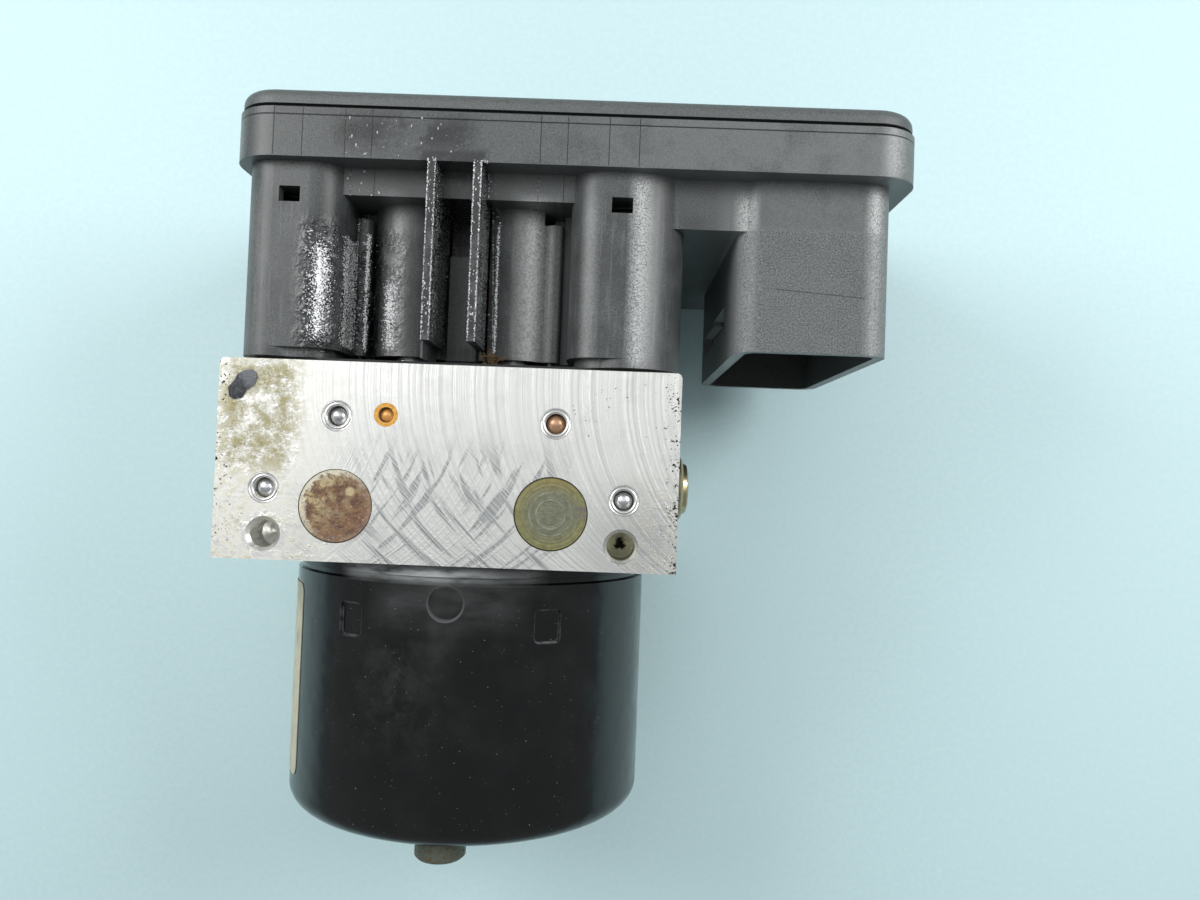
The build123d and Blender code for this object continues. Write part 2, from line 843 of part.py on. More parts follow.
def ecu_housing():
    """Tray, valve housing and connector shroud, moulded as one."""
    base = top + gasket_thickness
    lobes_low = top + foot_height
    body = rise(housing_plan(0), lobes_low, top + wall_low + 0.1)
    body += rise(housing_plan(foot_inset), base, lobes_low)
    left_corner = (housing_left + lobe_corner, face - lobe_corner)
    right_corner = (half - lobe_end_corner, face - lobe_end_corner)
    body += rod_y(*left_corner, lobe_corner, base, lobes_low)
    body += rod_y(*right_corner, lobe_end_corner, base, lobes_low)
    outer = plan_rectangle(housing_left, lobe_left_end, housing_back, face, lobe_corner)
    body += rise(outer, lobes_low, top + rim_low)
    body += rise(right_lobe(0), lobes_low, top + rim_low)
    left_pan = plan_rectangle(housing_left, half, 0, pan_front)
    left_pan = fillet(left_pan.vertices().sort_by(Axis.X)[:2], lobe_corner)
    body += rise(left_pan, top + wall_low, top + rim_low)
    right_pan = plan_rectangle(wall_end_x, connector_right, 0, pan_front)
    right_pan = fillet(right_pan.vertices().sort_by(Axis.X)[-2:], connector_corner)
    body += rise(right_pan, top + floor_low, top + rim_low)
    rim = plan_rectangle(unit_left, unit_right, 0, face + rim_lead, rim_corner)
    body += rise(rim, top + rim_low, top + rim_high)
    shroud = plan_rectangle(
        connector_left, connector_right, connector_front - connector_depth, connector_front, connector_corner
    )
    body += rise(shroud, top + connector_mouth, top + rim_low)
    for x in rib_places:
        body += brick(
            x - rib_thickness / 2,
            x + rib_thickness / 2,
            top + rib_foot,
            top + rim_low,
            face - valley_sink - 2,
            face + rim_lead,
        )
    fin_x = rib_places[0] - rib_thickness / 2
    body += brick(
        fin_x, fin_x + fin_thickness, base + 0.3, top + rib_foot, face - panel_sink, face + rim_lead - 1
    )
    return housing_cuts(body)


def housing_cuts(body):
    """Takes the hollows, windows and socket out of the control unit's housing."""
    base = top + gasket_thickness
    pocket_high = top + wall_low + 0.2
    for x, z in coil_places:
        body -= rod_y(x, z, coil_radius + coil_clearance, base - 1, pocket_high)
    chamber_low = housing_middle - chamber_depth / 2
    chamber_high = housing_middle + chamber_depth / 2
    tray_floor = top + wall_low + floor_thickness
    body -= brick(
        -chamber_half_width, chamber_half_width, base - 1, tray_floor + 1, chamber_low, chamber_high
    )
    slot = contact_slot_half
    body -= brick(
        motor_x - slot, motor_x + slot, base - 1, tray_floor + 1, contact_z - 2 * slot, chamber_low + 1
    )
    inner = plan_rectangle(
        housing_left + housing_wall, connector_right - housing_wall, housing_wall, pan_front - housing_wall, 4
    )
    tray = rise(inner, tray_floor, top + rim_high + 1)
    for x, z in board_post_places():
        tray -= rod_y(x, z, board_post_radius, tray_floor - 1, board_low)
    body -= tray
    right_pocket = plan_rectangle(
        half + 3, connector_right - housing_wall, housing_wall, pan_front - housing_wall, 4
    )
    body -= rise(right_pocket, top + floor_low + floor_thickness, tray_floor + 1)
    socket = plan_rectangle(
        connector_left + connector_wall,
        connector_right - connector_wall,
        connector_front - connector_depth + connector_wall,
        connector_front - connector_wall,
        connector_corner - connector_wall,
    )
    body -= rise(socket, top + connector_mouth - 1, top + connector_floor)
    small, blades = pin_places()
    for x, z in small:
        body -= pin(x, z, pin_size + 2 * seat_gap, pin_size + 2 * seat_gap, 1)
    for x, z in blades:
        body -= pin(x, z, blade_width + 2 * seat_gap, pin_size + 2 * seat_gap, 1)
    for x, z in unit_screw_places:
        body -= rod_y(x, z, unit_screw_radius + screw_clearance, base - 1, tray_floor + 1)
    body -= brick(
        bore_shift - opening_half_width,
        bore_shift + opening_half_width,
        top + opening_low,
        top + wall_low,
        face - panel_sink - opening_depth,
        face - panel_sink + 1,
    )
    window_low = top + window_high - window_height
    for x, front in (
        (bore_shift - coil_x_outer, face),
        (bore_shift + coil_x_outer, face),
        (post_x_left, face - post_sink),
        (post_x_right, face - post_sink),
    ):
        high = top + window_high if front == face else top + wall_low
        body -= brick(
            x - window_width / 2, x + window_width / 2, window_low, high, front - window_depth, front + 1
        )
    return guide_windows(body)


def guide_windows(body):
    """Two stepped windows for the plug's slide, through the shroud's left wall."""
    x0 = connector_left - 1
    x1 = connector_left + connector_wall + 1
    for step in (0, 1):
        high = face - guide_start - step * guide_length
        low = top + guide_low + (1 - step) * guide_step
        body -= brick(x0, x1, low, low + guide_height, high - guide_length, high)
    return body


def pin(x, z, width, thickness, extra):
    """A pin or blade from the socket up to the circuit board, or its hole where extra is given."""
    return brick(
        x - width / 2,
        x + width / 2,
        top + connector_floor - pin_length - extra,
        board_low + (0 if extra == 0 else extra),
        z - thickness / 2,
        z + thickness / 2,
    )


def connector_pins():
    """All the pins and blades of the connector."""
    small, blades = pin_places()
    group = [pin(x, z, pin_size, pin_size, 0) for x, z in small]
    group += [pin(x, z, blade_width, pin_size, 0) for x, z in blades]
    return Compound(children=group)


def board_post_places():
    """Four posts that carry the circuit board."""
    x0 = housing_left + housing_wall + board_post_radius
    x1 = connector_right - housing_wall - board_post_radius
    z0 = housing_wall + board_post_radius
    z1 = pan_front - housing_wall - board_post_radius
    return [(x, z) for x in (x0, x1) for z in (z0, z1)]


def circuit_board():
    """The bare circuit board on its four posts."""
    inset = housing_wall + board_clearance
    plan = plan_rectangle(
        housing_left + inset, connector_right - inset, inset, pan_front - inset, 3
    )
    return rise(plan, board_low, board_low + board_thickness)


def relays():
    """The pump relay and the valve relay under the circuit board."""
    group = []
    for side in (-1, 1):
        x = side * (relay_width / 2 + contact_bore_radius + 2)
        relay = brick(
            x - relay_width / 2,
            x + relay_width / 2,
            board_low - relay_height,
            board_low,
            housing_middle - relay_thickness / 2,
            housing_middle + relay_thickness / 2,
        )
        group.append(fillet(relay.edges().filter_by(Axis.Y), 1.0))
    return Compound(children=group)


def ecu_lid():
    """The lid: a plate with a round edge over a step and a tongue that enters the rim."""
    low = top + rim_high + lid_gap
    plate = rise(
        plan_rectangle(
            unit_left + lid_inset,
            unit_right - lid_inset,
            lid_inset,
            face + rim_lead - lid_inset,
            rim_corner - lid_inset,
        ),
        low,
        low + lid_thickness,
    )
    plate = fillet(plate.faces().sort_by(Axis.Y)[-1].edges(), lid_edge)
    step = plan_rectangle(
        unit_left + lid_step, unit_right - lid_step, lid_step, face + rim_lead - lid_step, rim_corner - lid_step
    )
    lid = plate + rise(step, top + rim_high, low)
    inset = housing_wall + board_clearance
    tongue = plan_rectangle(
        housing_left + inset, connector_right - inset, inset, pan_front - inset, 3
    )
    return lid + rise(tongue, top + rim_high - lid_tongue, top + rim_high)


def housing_gasket():
    """The flat gasket between the block and the control unit."""
    plan = plan_rectangle(
        housing_left + 2.5, half - 3.5, housing_back + 2.5, face - 2.5, lobe_corner - 2.5
    )
    gasket = rise(plan, top, top + gasket_thickness)
    for x, z in coil_places:
        gasket -= rod_y(x, z, valve_dome_radius + 1.2 + screw_clearance, top - 1, top + 2)
    for x, z in unit_screw_places:
        gasket -= rod_y(x, z, unit_screw_radius + screw_clearance, top - 1, top + 2)
    slot = contact_slot_half
    gasket -= brick(
        motor_x - slot, motor_x + slot, top - 1, top + 2, contact_z - 2 * slot, contact_z + 2 * slot
    )
    return gasket


def unit_screws():
    """Four screws from inside the tray into the block."""
    floor = top + wall_low + floor_thickness
    group = []
    for x, z in unit_screw_places:
        screw = rod_y(x, z, unit_screw_radius, top - unit_screw_thread, floor)
        screw += rod_y(x, z, 1.7 * unit_screw_radius, floor, floor + unit_screw_radius)
        group.append(screw)
    return Compound(children=group)


def all_parts():
    """Every node's name and solid."""
    parts = {"valve_block": valve_block()}
    for name, side in (("left", -1), ("right", 1)):
        cap, piston, spring = accumulator(side)
        parts[f"accumulator_cap_{name}"] = cap
        parts[f"accumulator_piston_{name}"] = piston
        parts[f"accumulator_spring_{name}"] = spring
        parts[f"pump_plug_{name}"] = pump_plug(side)
        parts[f"pump_sleeve_{name}"] = pump_sleeve(side)
        parts[f"pump_piston_{name}"] = pump_piston(side)
        parts[f"pump_spring_{name}"] = pump_spring(side)
        parts[f"field_magnet_{name}"] = magnet(side)
        parts[f"brush_{name}"] = brush(side)
    steel = [
        ball(bore_shift - upper_ball_x, upper_ball_y, ball_radius),
        ball(bore_shift - lower_ball_x, lower_ball_y, ball_radius),
        ball(bore_shift + lower_ball_x, lower_ball_y, ball_radius),
    ]
    parts["steel_ball_plugs"] = Compound(children=steel)
    parts["copper_ball_plug"] = ball(bore_shift + upper_ball_x, upper_ball_y, ball_radius)
    small_x = bore_shift + small_ball_x
    parts["small_ball_plug"] = ball(small_x, small_ball_y, small_ball_radius)
    lacquer = rod_z(small_x, small_ball_y, lacquer_radius - seat_gap, face - lacquer_thickness, face)
    parts["sealing_lacquer"] = lacquer - rod_z(
        small_x, small_ball_y, small_ball_radius + seat_gap, face - 1, face + 1
    )
    for index, (x, z) in enumerate(coil_places):
        kind = "inlet" if index < len(coil_places) / 2 else "outlet"
        number = index % 4 + 1
        parts[f"{kind}_valve_{number}"] = valve_body(x, z)
        parts[f"{kind}_plunger_{number}"] = valve_plunger(x, z, kind == "inlet")
    parts["solenoid_coils"] = coils()
    parts["motor_can"] = motor_can()
    parts["motor_plate"] = motor_plate()
    parts["armature_core"] = armature_core()
    parts["armature_windings"] = armature_windings()
    parts["commutator"] = commutator()
    parts["motor_shaft"] = motor_shaft()
    parts["needle_ring"] = needle_ring()
    parts["front_bearing"] = bearing(foot - bearing_width, foot)
    rear_low = foot - can_length - rear_boss_height + can_wall
    parts["rear_bearing"] = bearing(rear_low, rear_low + bearing_width)
    parts["motor_screws"] = motor_screws()
    parts["motor_contacts"] = motor_contacts()
    parts["motor_label"] = motor_label()
    parts["mounting_peg"] = mounting_peg()
    parts["ecu_housing"] = ecu_housing()
    parts["housing_gasket"] = housing_gasket()
    parts["circuit_board"] = circuit_board()
    parts["relays"] = relays()
    parts["connector_pins"] = connector_pins()
    parts["ecu_lid"] = ecu_lid()
    parts["unit_screws"] = unit_screws()
    return parts


os.makedirs("parts", exist_ok=True)
for node, shape in all_parts().items():
    export_step(shape, f"parts/{node}.step")
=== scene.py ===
"""Dresses an anti-lock brake hydraulic unit: machined block, pump motor and control unit."""

import json
import math
import random

import bmesh
import bpy
from mathutils import Euler, Matrix, Vector

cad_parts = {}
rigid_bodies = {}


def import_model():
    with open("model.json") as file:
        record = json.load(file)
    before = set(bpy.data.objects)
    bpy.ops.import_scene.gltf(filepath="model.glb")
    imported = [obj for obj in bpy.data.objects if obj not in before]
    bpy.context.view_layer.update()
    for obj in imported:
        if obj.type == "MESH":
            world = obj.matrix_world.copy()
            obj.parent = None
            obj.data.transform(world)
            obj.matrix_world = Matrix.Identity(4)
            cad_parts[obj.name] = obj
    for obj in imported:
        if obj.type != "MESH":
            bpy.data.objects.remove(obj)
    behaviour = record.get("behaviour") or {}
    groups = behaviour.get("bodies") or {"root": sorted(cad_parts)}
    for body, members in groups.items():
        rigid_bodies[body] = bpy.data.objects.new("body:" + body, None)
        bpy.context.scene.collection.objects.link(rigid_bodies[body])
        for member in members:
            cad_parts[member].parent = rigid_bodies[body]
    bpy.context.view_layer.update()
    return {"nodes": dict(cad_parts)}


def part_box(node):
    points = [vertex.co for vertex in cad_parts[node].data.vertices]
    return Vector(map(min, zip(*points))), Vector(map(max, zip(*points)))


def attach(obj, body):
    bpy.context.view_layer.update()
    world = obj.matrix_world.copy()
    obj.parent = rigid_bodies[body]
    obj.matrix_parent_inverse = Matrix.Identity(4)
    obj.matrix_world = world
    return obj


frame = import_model()

bl_info = {
    "name": "Brake Unit Finish",
    "version": (1, 0, 0),
    "blender": (4, 5, 0),
    "location": "3D View > Sidebar > Brake Unit",
    "description": "Surface finishes and small worn details of an anti-lock brake hydraulic unit",
    "category": "Object",
}

# Millimetres in the shared frame
MM = 0.001
FACE_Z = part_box("valve_block")[1].z / MM
BLOCK_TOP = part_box("valve_block")[1].y / MM
BLOCK_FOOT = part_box("valve_block")[0].y / MM
LEFT_BORE = (-39.0, -16.1)
RIGHT_BORE = (38.0, -16.1)
MOTOR_AXIS = (0.6, 54.0)
CAN_RADIUS = 44.1
RIB_EDGES = (-6.25, -4.65, 3.65, 5.2)
# Over every node, where rays start down
ABOVE_ALL = 130.0
# Wider than one ball plug, closer than two of them
BALL_SPAN = 6
RING_STEPS = 48
# Heights of the lobes' upper end and of the rim over the block's top
LOBE_END = 37
RIM_START, RIM_END = 43.4, 54
# The can's tabs: distance below the block, turn about the axis, half their straight edges and
# the two radii of their outline. The dimple: distance below the block
TAB_FALL, TAB_TURN = 13.3, math.radians(30)
TAB_HALF_WIDTH, TAB_HALF_HEIGHT = 1.9, 2.4
TAB_CORNER = (1.1, 1.3)
DIMPLE_FALL = 8.3
# Fluid drops: radii on a face and on an edge, height against radius, and how deep they are seen
FACE_DROP, EDGE_DROP = (0.08, 0.26), (0.05, 0.15)
DROP_RISE = 0.45
LOWEST_DROP = 70

# Metres and degrees: where the photograph was taken from, and the light
CAMERA_PLACE = (0.0342, -0.00115, 0.2999)
CAMERA_TURN = (1.64, 0.34, 2.14)
SENSOR_WIDTH = 36.0
FLOOR_HALF, FLOOR_DROP = 1.6, 0.0002
LAMP_AIM = (0.02, 0.0, 0.05)
# Name, place, size, share of the panel's power
LAMPS = (
    ("left window", (-0.34, 0.19, 0.42), 0.26, 0.62),
    ("right window", (0.42, 0.19, 0.42), 0.26, 0.68),
    ("overhead lamp", (-0.1, 0.30, 1.05), 0.85, 0.83),
)
SKY_STRENGTH = 0.35

# Radius and height over the block's face of a staking ring's section
STAKE_SECTION = (
    (2.24, -1.0), (2.24, -0.42), (2.38, -0.2), (2.62, -0.12), (2.8, -0.16),
    (2.9, -0.3), (3.02, -0.3), (3.14, -0.12), (3.36, -0.08), (3.39, -0.34), (2.5, -1.0),
)
FLAKE_OUTLINE = (
    (-47.6, 13.3), (-46.6, 12.6), (-44.9, 12.9), (-43.9, 14.6), (-42.4, 15.7), (-41.7, 17.3),
    (-42.0, 18.6), (-43.0, 19.2), (-44.4, 18.9), (-45.8, 18.2), (-46.7, 16.6), (-47.9, 15.0),
)


def linear(code):
    """Turns an sRGB hex colour to linear red, green, blue and alpha."""
    parts = [int(code[i : i + 2], 16) / 255 for i in (1, 3, 5)]
    return (*[c / 12.92 if c <= 0.04045 else ((c + 0.055) / 1.055) ** 2.4 for c in parts], 1.0)


def colour(name, code, text):
    """A colour property of the panel."""
    return bpy.props.FloatVectorProperty(
        name=name, description=text, default=linear(code)[:3], subtype="COLOR", min=0.0, max=1.0
    )


class Finish:
    """A new material with its shader, and its surface's place in millimetres."""

    def __init__(self, name, **settings):
        self.material = bpy.data.materials.new(name)
        self.material.use_nodes = True
        self.tree = self.material.node_tree
        self.tree.nodes.clear()
        self.shader = self.add("BsdfPrincipled", **settings).node
        self.add("OutputMaterial", self.shader.outputs[0])
        self.place = self.add("Mapping", self.add("TexCoord", output="Object"), Scale=(1 / MM,) * 3)
        self.x, self.y, self.z = self.add("SeparateXYZ", self.place).node.outputs

    def add(self, kind, *values, output=None, **settings):
        """Adds a node with its settings and links, and returns one of its outputs."""
        made = self.tree.nodes.new("ShaderNode" + kind)
        named = {}
        for key, value in settings.items():
            if key[0].isupper():
                named[key.replace("_", " ")] = value
            else:
                setattr(made, key, value)
        inputs = [s for s in made.inputs if s.enabled]
        pairs = [*zip(inputs, values), *[(s, named[s.name]) for s in inputs if s.name in named]]
        for socket, value in pairs:
            if isinstance(value, bpy.types.NodeSocket):
                self.tree.links.new(value, socket)
            elif socket.type == "RGBA":
                socket.default_value = linear(value) if isinstance(value, str) else (*value[:3], 1.0)
            else:
                socket.default_value = value
        if output:
            return made.outputs[output]
        return next((s for s in made.outputs if s.enabled), None)

    def grain(self, size, low, high, share=1.0, place=None, **more):
        """Noise with features of a size in millimetres, stretched between two levels to a share."""
        more = {"Detail": 4.0, "Roughness": 0.6, **more}
        noise = self.add("TexNoise", place or self.place, Scale=1 / size, **more)
        return self.add("MapRange", noise, low, high, 0.0, share)

    def within(self, axis, low, high, soft, share=1.0):
        """A share between two places on an axis, falling to 0 over a soft edge."""
        up = self.add("MapRange", axis, low - soft, low + soft, 0.0, share)
        return self.add("MapRange", axis, high + soft, high - soft, 0.0, up)

    def area(self, x0, x1, y0, y1, soft, share=1.0):
        """A share inside a rectangle in X and Y."""
        return self.within(self.y, y0, y1, soft, self.within(self.x, x0, x1, soft, share))

    def above(self, x0, x1, low, high, soft, share=1.0):
        """A share inside a rectangle in X and in height over the block's top."""
        return self.area(x0, x1, BLOCK_TOP + low, BLOCK_TOP + high, soft, share)

    def coats(self, tone, *layers):
        """Lays a stack of colours over a tone, each to the share of its own mask."""
        for mask, coat in layers:
            tone = self.add("Mix", mask, tone, coat, data_type="RGBA")
        return tone

    def wear(self, **sockets):
        """Links results to the shader's inputs and returns the material."""
        for key, value in sockets.items():
            self.tree.links.new(value, self.shader.inputs[key.replace("_", " ")])
        return self.material


def most(look, *masks):
    """The largest of several masks."""
    result = masks[0]
    for mask in masks[1:]:
        result = look.add("Math", result, mask, operation="MAXIMUM")
    return result


def radius_from(look, x, y):
    """Distance from a line along Z, in millimetres."""
    flat = look.add("CombineXYZ", look.x, look.y)
    return look.add("VectorMath", flat, (x, y, 0.0), operation="DISTANCE", output="Value")


def milled_aluminium(sizes):
    """Face-milled alloy: bright, with crossing cutter arcs, white oxide and yellow-green stains, and painted
    shade at the end of the right bore.
    """
    look = Finish("milled aluminium")
    face = look.add("MapRange", look.z, FACE_Z - 0.25, FACE_Z - 0.1)
    # The mill's arcs stand upright at one height and lean over above and below it
    rise = look.add("Math", look.y, sizes.arc_centre / MM, operation="SUBTRACT")
    square = look.add("Math", rise, rise, operation="MULTIPLY")
    square = look.add("Math", (sizes.cutter_radius / MM) ** 2, square, operation="SUBTRACT")
    reach = look.add("Math", look.add("Math", square, 0.0, operation="MAXIMUM"), operation="SQRT")
    trailing = look.add("Math", look.x, reach, operation="ADD")
    leading = look.add("Math", look.x, reach, operation="SUBTRACT")
    # Feed lines about 1.1 mm apart with finer tooth lines between them, crossed in the middle
    feed = sizes.feed / MM
    line = {"noise_dimensions": "1D", "Detail": 3.0, "Roughness": 0.7}
    whitened = look.add("MapRange", look.x, -16, -40, 1.0, 0.25)
    back_lines = look.grain(feed, 0.36, 0.66, whitened, trailing, **line)
    fine_lines = look.grain(feed / 3.5, 0.34, 0.7, 0.75, trailing, **line)
    fine_lines = look.add("Math", fine_lines, whitened, operation="MULTIPLY")
    centre = look.area(-28, 16, -30, 6, 6, 0.95)
    front_lines = look.grain(feed, 0.36, 0.66, centre, leading, **line)
    lines = most(look, back_lines, fine_lines, front_lines)
    # Grey burnished strips with a fine hatch, which follow the arcs where the two passes cross
    slant = look.add("Math", look.x, look.y, operation="ADD")
    hatch = look.add("MapRange", look.grain(0.5, 0.42, 0.56, 1.0, slant, **line), 0.0, 1.0, 0.3, 1.0)
    low_half = look.area(-19, 25, -30, 3.5, 4, 0.85)
    squat = look.add("Math", look.y, 0.17, operation="MULTIPLY")
    strips = [
        look.grain(size, low, high, low_half, look.add("CombineXYZ", arcs, squat), Detail=2.0)
        for arcs, size, low, high in ((trailing, 3.0, 0.53, 0.6), (leading, 2.6, 0.55, 0.62))
    ]
    strips = look.add("Math", most(look, *strips), hatch, operation="MULTIPLY")
    grey = most(look, strips, look.grain(9, 0.5, 0.72, 0.2), look.area(33, 52, -24, -6, 7, 0.45))
    # Corrosion: powdery white over the left end, olive crust with pale and brown specks in it
    crumbly = {"Detail": 6.0, "Roughness": 0.75}
    left_end = look.add("MapRange", look.x, -20, -42, 0.0, 0.75)
    left_end = look.add("MapRange", radius_from(look, *LEFT_BORE), 4.6, 5.4, 0.0, left_end)
    powder = look.grain(2.0, 0.42, 0.56, left_end, **crumbly)
    crust = look.grain(5.0, 0.44, 0.57, look.area(-49.5, -33, -2, 22, 2.5), **crumbly)
    haze = look.grain(4.0, 0.52, 0.64, look.area(-50, -24, -24, -7, 4, 0.5), **crumbly)
    brown = look.grain(3.0, 0.45, 0.65, look.area(40, 52, -24, -2, 5, 0.4), **crumbly)
    stain = most(look, crust, most(look, haze, brown))
    # Pits under half a millimetre, crowded at the right edge and along both ends
    crowd = most(
        look,
        look.add("MapRange", look.x, 42, 49.5),
        look.area(22, 48, 2, 22, 4, 0.5),
        look.add("MapRange", look.x, -37, -49, 0.0, 0.8),
        look.add("MapRange", look.y, BLOCK_FOOT + 3, BLOCK_FOOT, 0.0, 0.55),
    )
    near_face = look.add("MapRange", look.z, FACE_Z - 12, FACE_Z - 1, 0.4, 1.0)
    crowd = look.add("Math", crowd, near_face, operation="MULTIPLY")
    dense = look.add("MapRange", look.grain(2.6, 0.3, 0.62), 0.0, 1.0, 0.72, 1.05)
    dots = look.grain(0.55, 0.0, 1.0, dense, Detail=2.0)
    level = look.add("MapRange", crowd, 0.0, 1.0, 0.84, 0.56)
    pits = look.add("Math", dots, level, operation="GREATER_THAN")
    # The right bore is dull and olive inside, with painted shade in a ragged dark star at its end
    deep = radius_from(look, *RIGHT_BORE)
    dull = look.add("MapRange", deep, 3.3, 2.9)
    bore_end_shade = look.add("Math", deep, look.grain(0.8, 0.3, 0.7), operation="SUBTRACT")
    tone = look.coats(
        sizes.bright,
        (look.add("Math", lines, 0.42, operation="MULTIPLY"), sizes.tooth_mark),
        (look.add("Math", grey, face, operation="MULTIPLY"), sizes.burnished),
        (powder, sizes.oxide),
        (look.add("Math", stain, 0.85, operation="MULTIPLY"), sizes.crust),
        (look.grain(0.9, 0.6, 0.66, crust), "#e6e0c8"),
        (look.grain(0.7, 0.64, 0.68, crust), "#57492c"),
        (pits, sizes.pit),
        (look.grain(1.2, 0.2, 0.5, dull), "#b9b8a2"),
        # Painted shade at the end of the right bore
        (look.add("MapRange", bore_end_shade, 0.9, 0.5), "#16150f"),
    )
    matt = most(look, powder, stain, pits)
    rough = look.add("MapRange", lines, 0.0, 1.0, 0.3, 0.42)
    rough = look.add("MapRange", matt, 0.0, 1.0, rough, 0.85)
    metal = look.add("MapRange", matt, 0.0, 0.8, 0.88, 0.1)
    # Milled sides: lines along Z, on the ends and on the two broad sides
    side_lines = [
        look.grain(0.8, 0.35, 0.7, 1.0, look.add("Mapping", look.place, Scale=scale))
        for scale in ((0.02, 1.0, 0.03), (1.0, 0.02, 0.03))
    ]
    normal = look.add("Bump", Height=most(look, *side_lines), Distance=0.012 * MM)
    lines_up = look.add("Math", lines, face, operation="MULTIPLY")
    normal = look.add("Bump", Height=lines_up, Distance=0.03 * MM, Normal=normal)
    crusty = look.add("Math", stain, pits, operation="SUBTRACT")
    normal = look.add("Bump", Height=crusty, Distance=0.14 * MM, Normal=normal)
    return look.wear(Base_Color=tone, Roughness=rough, Metallic=metal, Normal=normal)


def rusty_cap(sizes, centre):
    """Steel cap rusted brown: ochre blisters, and a ragged pale crust at its upper left rim."""
    look = Finish("rusted steel")
    r = radius_from(look, *centre)
    ragged = look.add("Math", r, look.grain(1.1, 0.3, 0.7, 2.0), operation="ADD")
    around = look.add("Math", look.y, look.x, operation="SUBTRACT")
    middle = centre[1] - centre[0]
    side = look.add("MapRange", around, middle - 3, middle + 7, 0.12, 1.0)
    rim = look.add("MapRange", ragged, 7.4, 8.2, 0.0, side)
    upper = look.add("MapRange", around, middle - 6, middle + 6, 0.0, 0.9)
    ochre = look.grain(2.4, 0.45, 0.56, upper, Detail=5.0, Roughness=0.7)
    bleached = look.grain(0.9, 0.62, 0.68, 0.6, Detail=4.0, Roughness=0.7)
    deep = look.grain(1.5, 0.42, 0.62, 1.0, Detail=5.0, Roughness=0.7)
    scratch_place = look.add("Mapping", look.place, Rotation=(0, 0, 0.45), Scale=(0.25, 2.4, 1.0))
    scratch = look.grain(1.2, 0.64, 0.7, look.area(-27.4, -22.6, -15.2, -11.9, 0.5), scratch_place)
    blister = look.add("MapRange", radius_from(look, -20.6, -6.5), 1.3, 0.7)
    tone = look.coats(
        sizes.rust,
        (deep, sizes.dark_rust),
        (most(look, ochre, bleached, blister), sizes.pale_rust),
        (scratch, "#c9b9a4"),
        (rim, sizes.rim_crust),
        (look.add("MapRange", r, 7.74, 7.92), sizes.pit),
    )
    crumbs = look.grain(0.7, 0.3, 0.7, 1.0, Detail=5.0)
    height = look.add("Math", crumbs, most(look, ochre, blister, rim), operation="ADD")
    rough = look.add("MapRange", deep, 0.0, 1.0, 0.8, 0.55)
    normal = look.add("Bump", Height=height, Distance=0.24 * MM)
    return look.wear(Base_Color=tone, Roughness=rough, Normal=normal)


def chromated_cap(sizes, centre):
    """Yellow-chromated steel, olive where the film wore, with turning rings and a scratched middle."""
    look = Finish("yellow chromated steel", Metallic=0.7)
    r = radius_from(look, *centre)
    # The real rings are too fine to show and are drawn 0.45 mm apart
    rings = look.grain(0.45, 0.35, 0.7, 1.0, r, noise_dimensions="1D", Detail=2.0)
    arcs = most(look, look.within(r, 3.05, 3.2, 0.14, 0.55), look.within(r, 4.55, 4.7, 0.14, 0.45))
    scratch_place = look.add("Mapping", look.place, Rotation=(0, 0, -0.6), Scale=(0.3, 2.6, 1.0))
    middle = look.add("MapRange", r, 3.4, 1.6, 0.0, 0.6)
    stain = radius_from(look, centre[0] + 6.6, centre[1] + 0.5)
    stain = look.add("MapRange", stain, 3.2, 1.4, 0.0, 0.6)
    tone = look.coats(
        sizes.chromate,
        (look.add("MapRange", r, 7.0, 4.4, 0.0, 0.85), sizes.worn_chromate),
        (look.grain(1.1, 0.35, 0.7, 0.5, Detail=5.0), "#4c4c3e"),
        (look.grain(2.4, 0.4, 0.6, arcs), "#d2d2bb"),
        (look.grain(0.9, 0.58, 0.68, middle, scratch_place), "#c4c6b8"),
        (look.grain(1.3, 0.4, 0.6, stain), "#6a6672"),
        (look.add("MapRange", look.y, centre[1] + 4.5, centre[1] + 8, 0.0, 0.4), "#93794a"),
        (look.add("MapRange", r, 7.72, 7.9), "#1c1a14"),
    )
    rough = look.add("MapRange", rings, 0.0, 1.0, 0.3, 0.5)
    height = look.add("Math", rings, look.grain(0.3, 0.3, 0.7, 0.5), operation="ADD")
    normal = look.add("Bump", Height=height, Distance=0.02 * MM)
    return look.wear(Base_Color=tone, Roughness=rough, Normal=normal)


def bright_steel(name, code, rough, tint="#4c4a46", metal=1.0):
    """Ground or rolled metal: mirror grey with fine handling marks and a little tarnish."""
    look = Finish(name, Metallic=metal)
    tone = look.add("Mix", look.grain(1.8, 0.4, 0.72, 0.4), code, tint, data_type="RGBA")
    # Handling marks are hairlines and are drawn about 0.15 mm wide, so that they show
    scratch_place = look.add("Mapping", look.place, Scale=(1.0, 6.0, 2.5))
    scratches = look.grain(0.9, 0.4, 0.7, 1.0, scratch_place)
    roughness = look.add("MapRange", scratches, 0.0, 1.0, rough, rough + 0.16)
    normal = look.add("Bump", Height=scratches, Distance=0.006 * MM)
    return look.wear(Base_Color=tone, Roughness=roughness, Normal=normal)


def amber_lacquer(sizes):
    """Clear orange sealing lacquer, poured in a ring: glossy, darker where it is thick."""
    look = Finish("amber sealing lacquer", Roughness=0.12, IOR=1.5)
    thick = look.grain(0.8, 0.4, 0.72)
    tone = look.add("Mix", thick, sizes.lacquer, sizes.thick_lacquer, data_type="RGBA")
    return look.wear(Base_Color=tone, Normal=look.add("Bump", Height=thick, Distance=0.08 * MM))


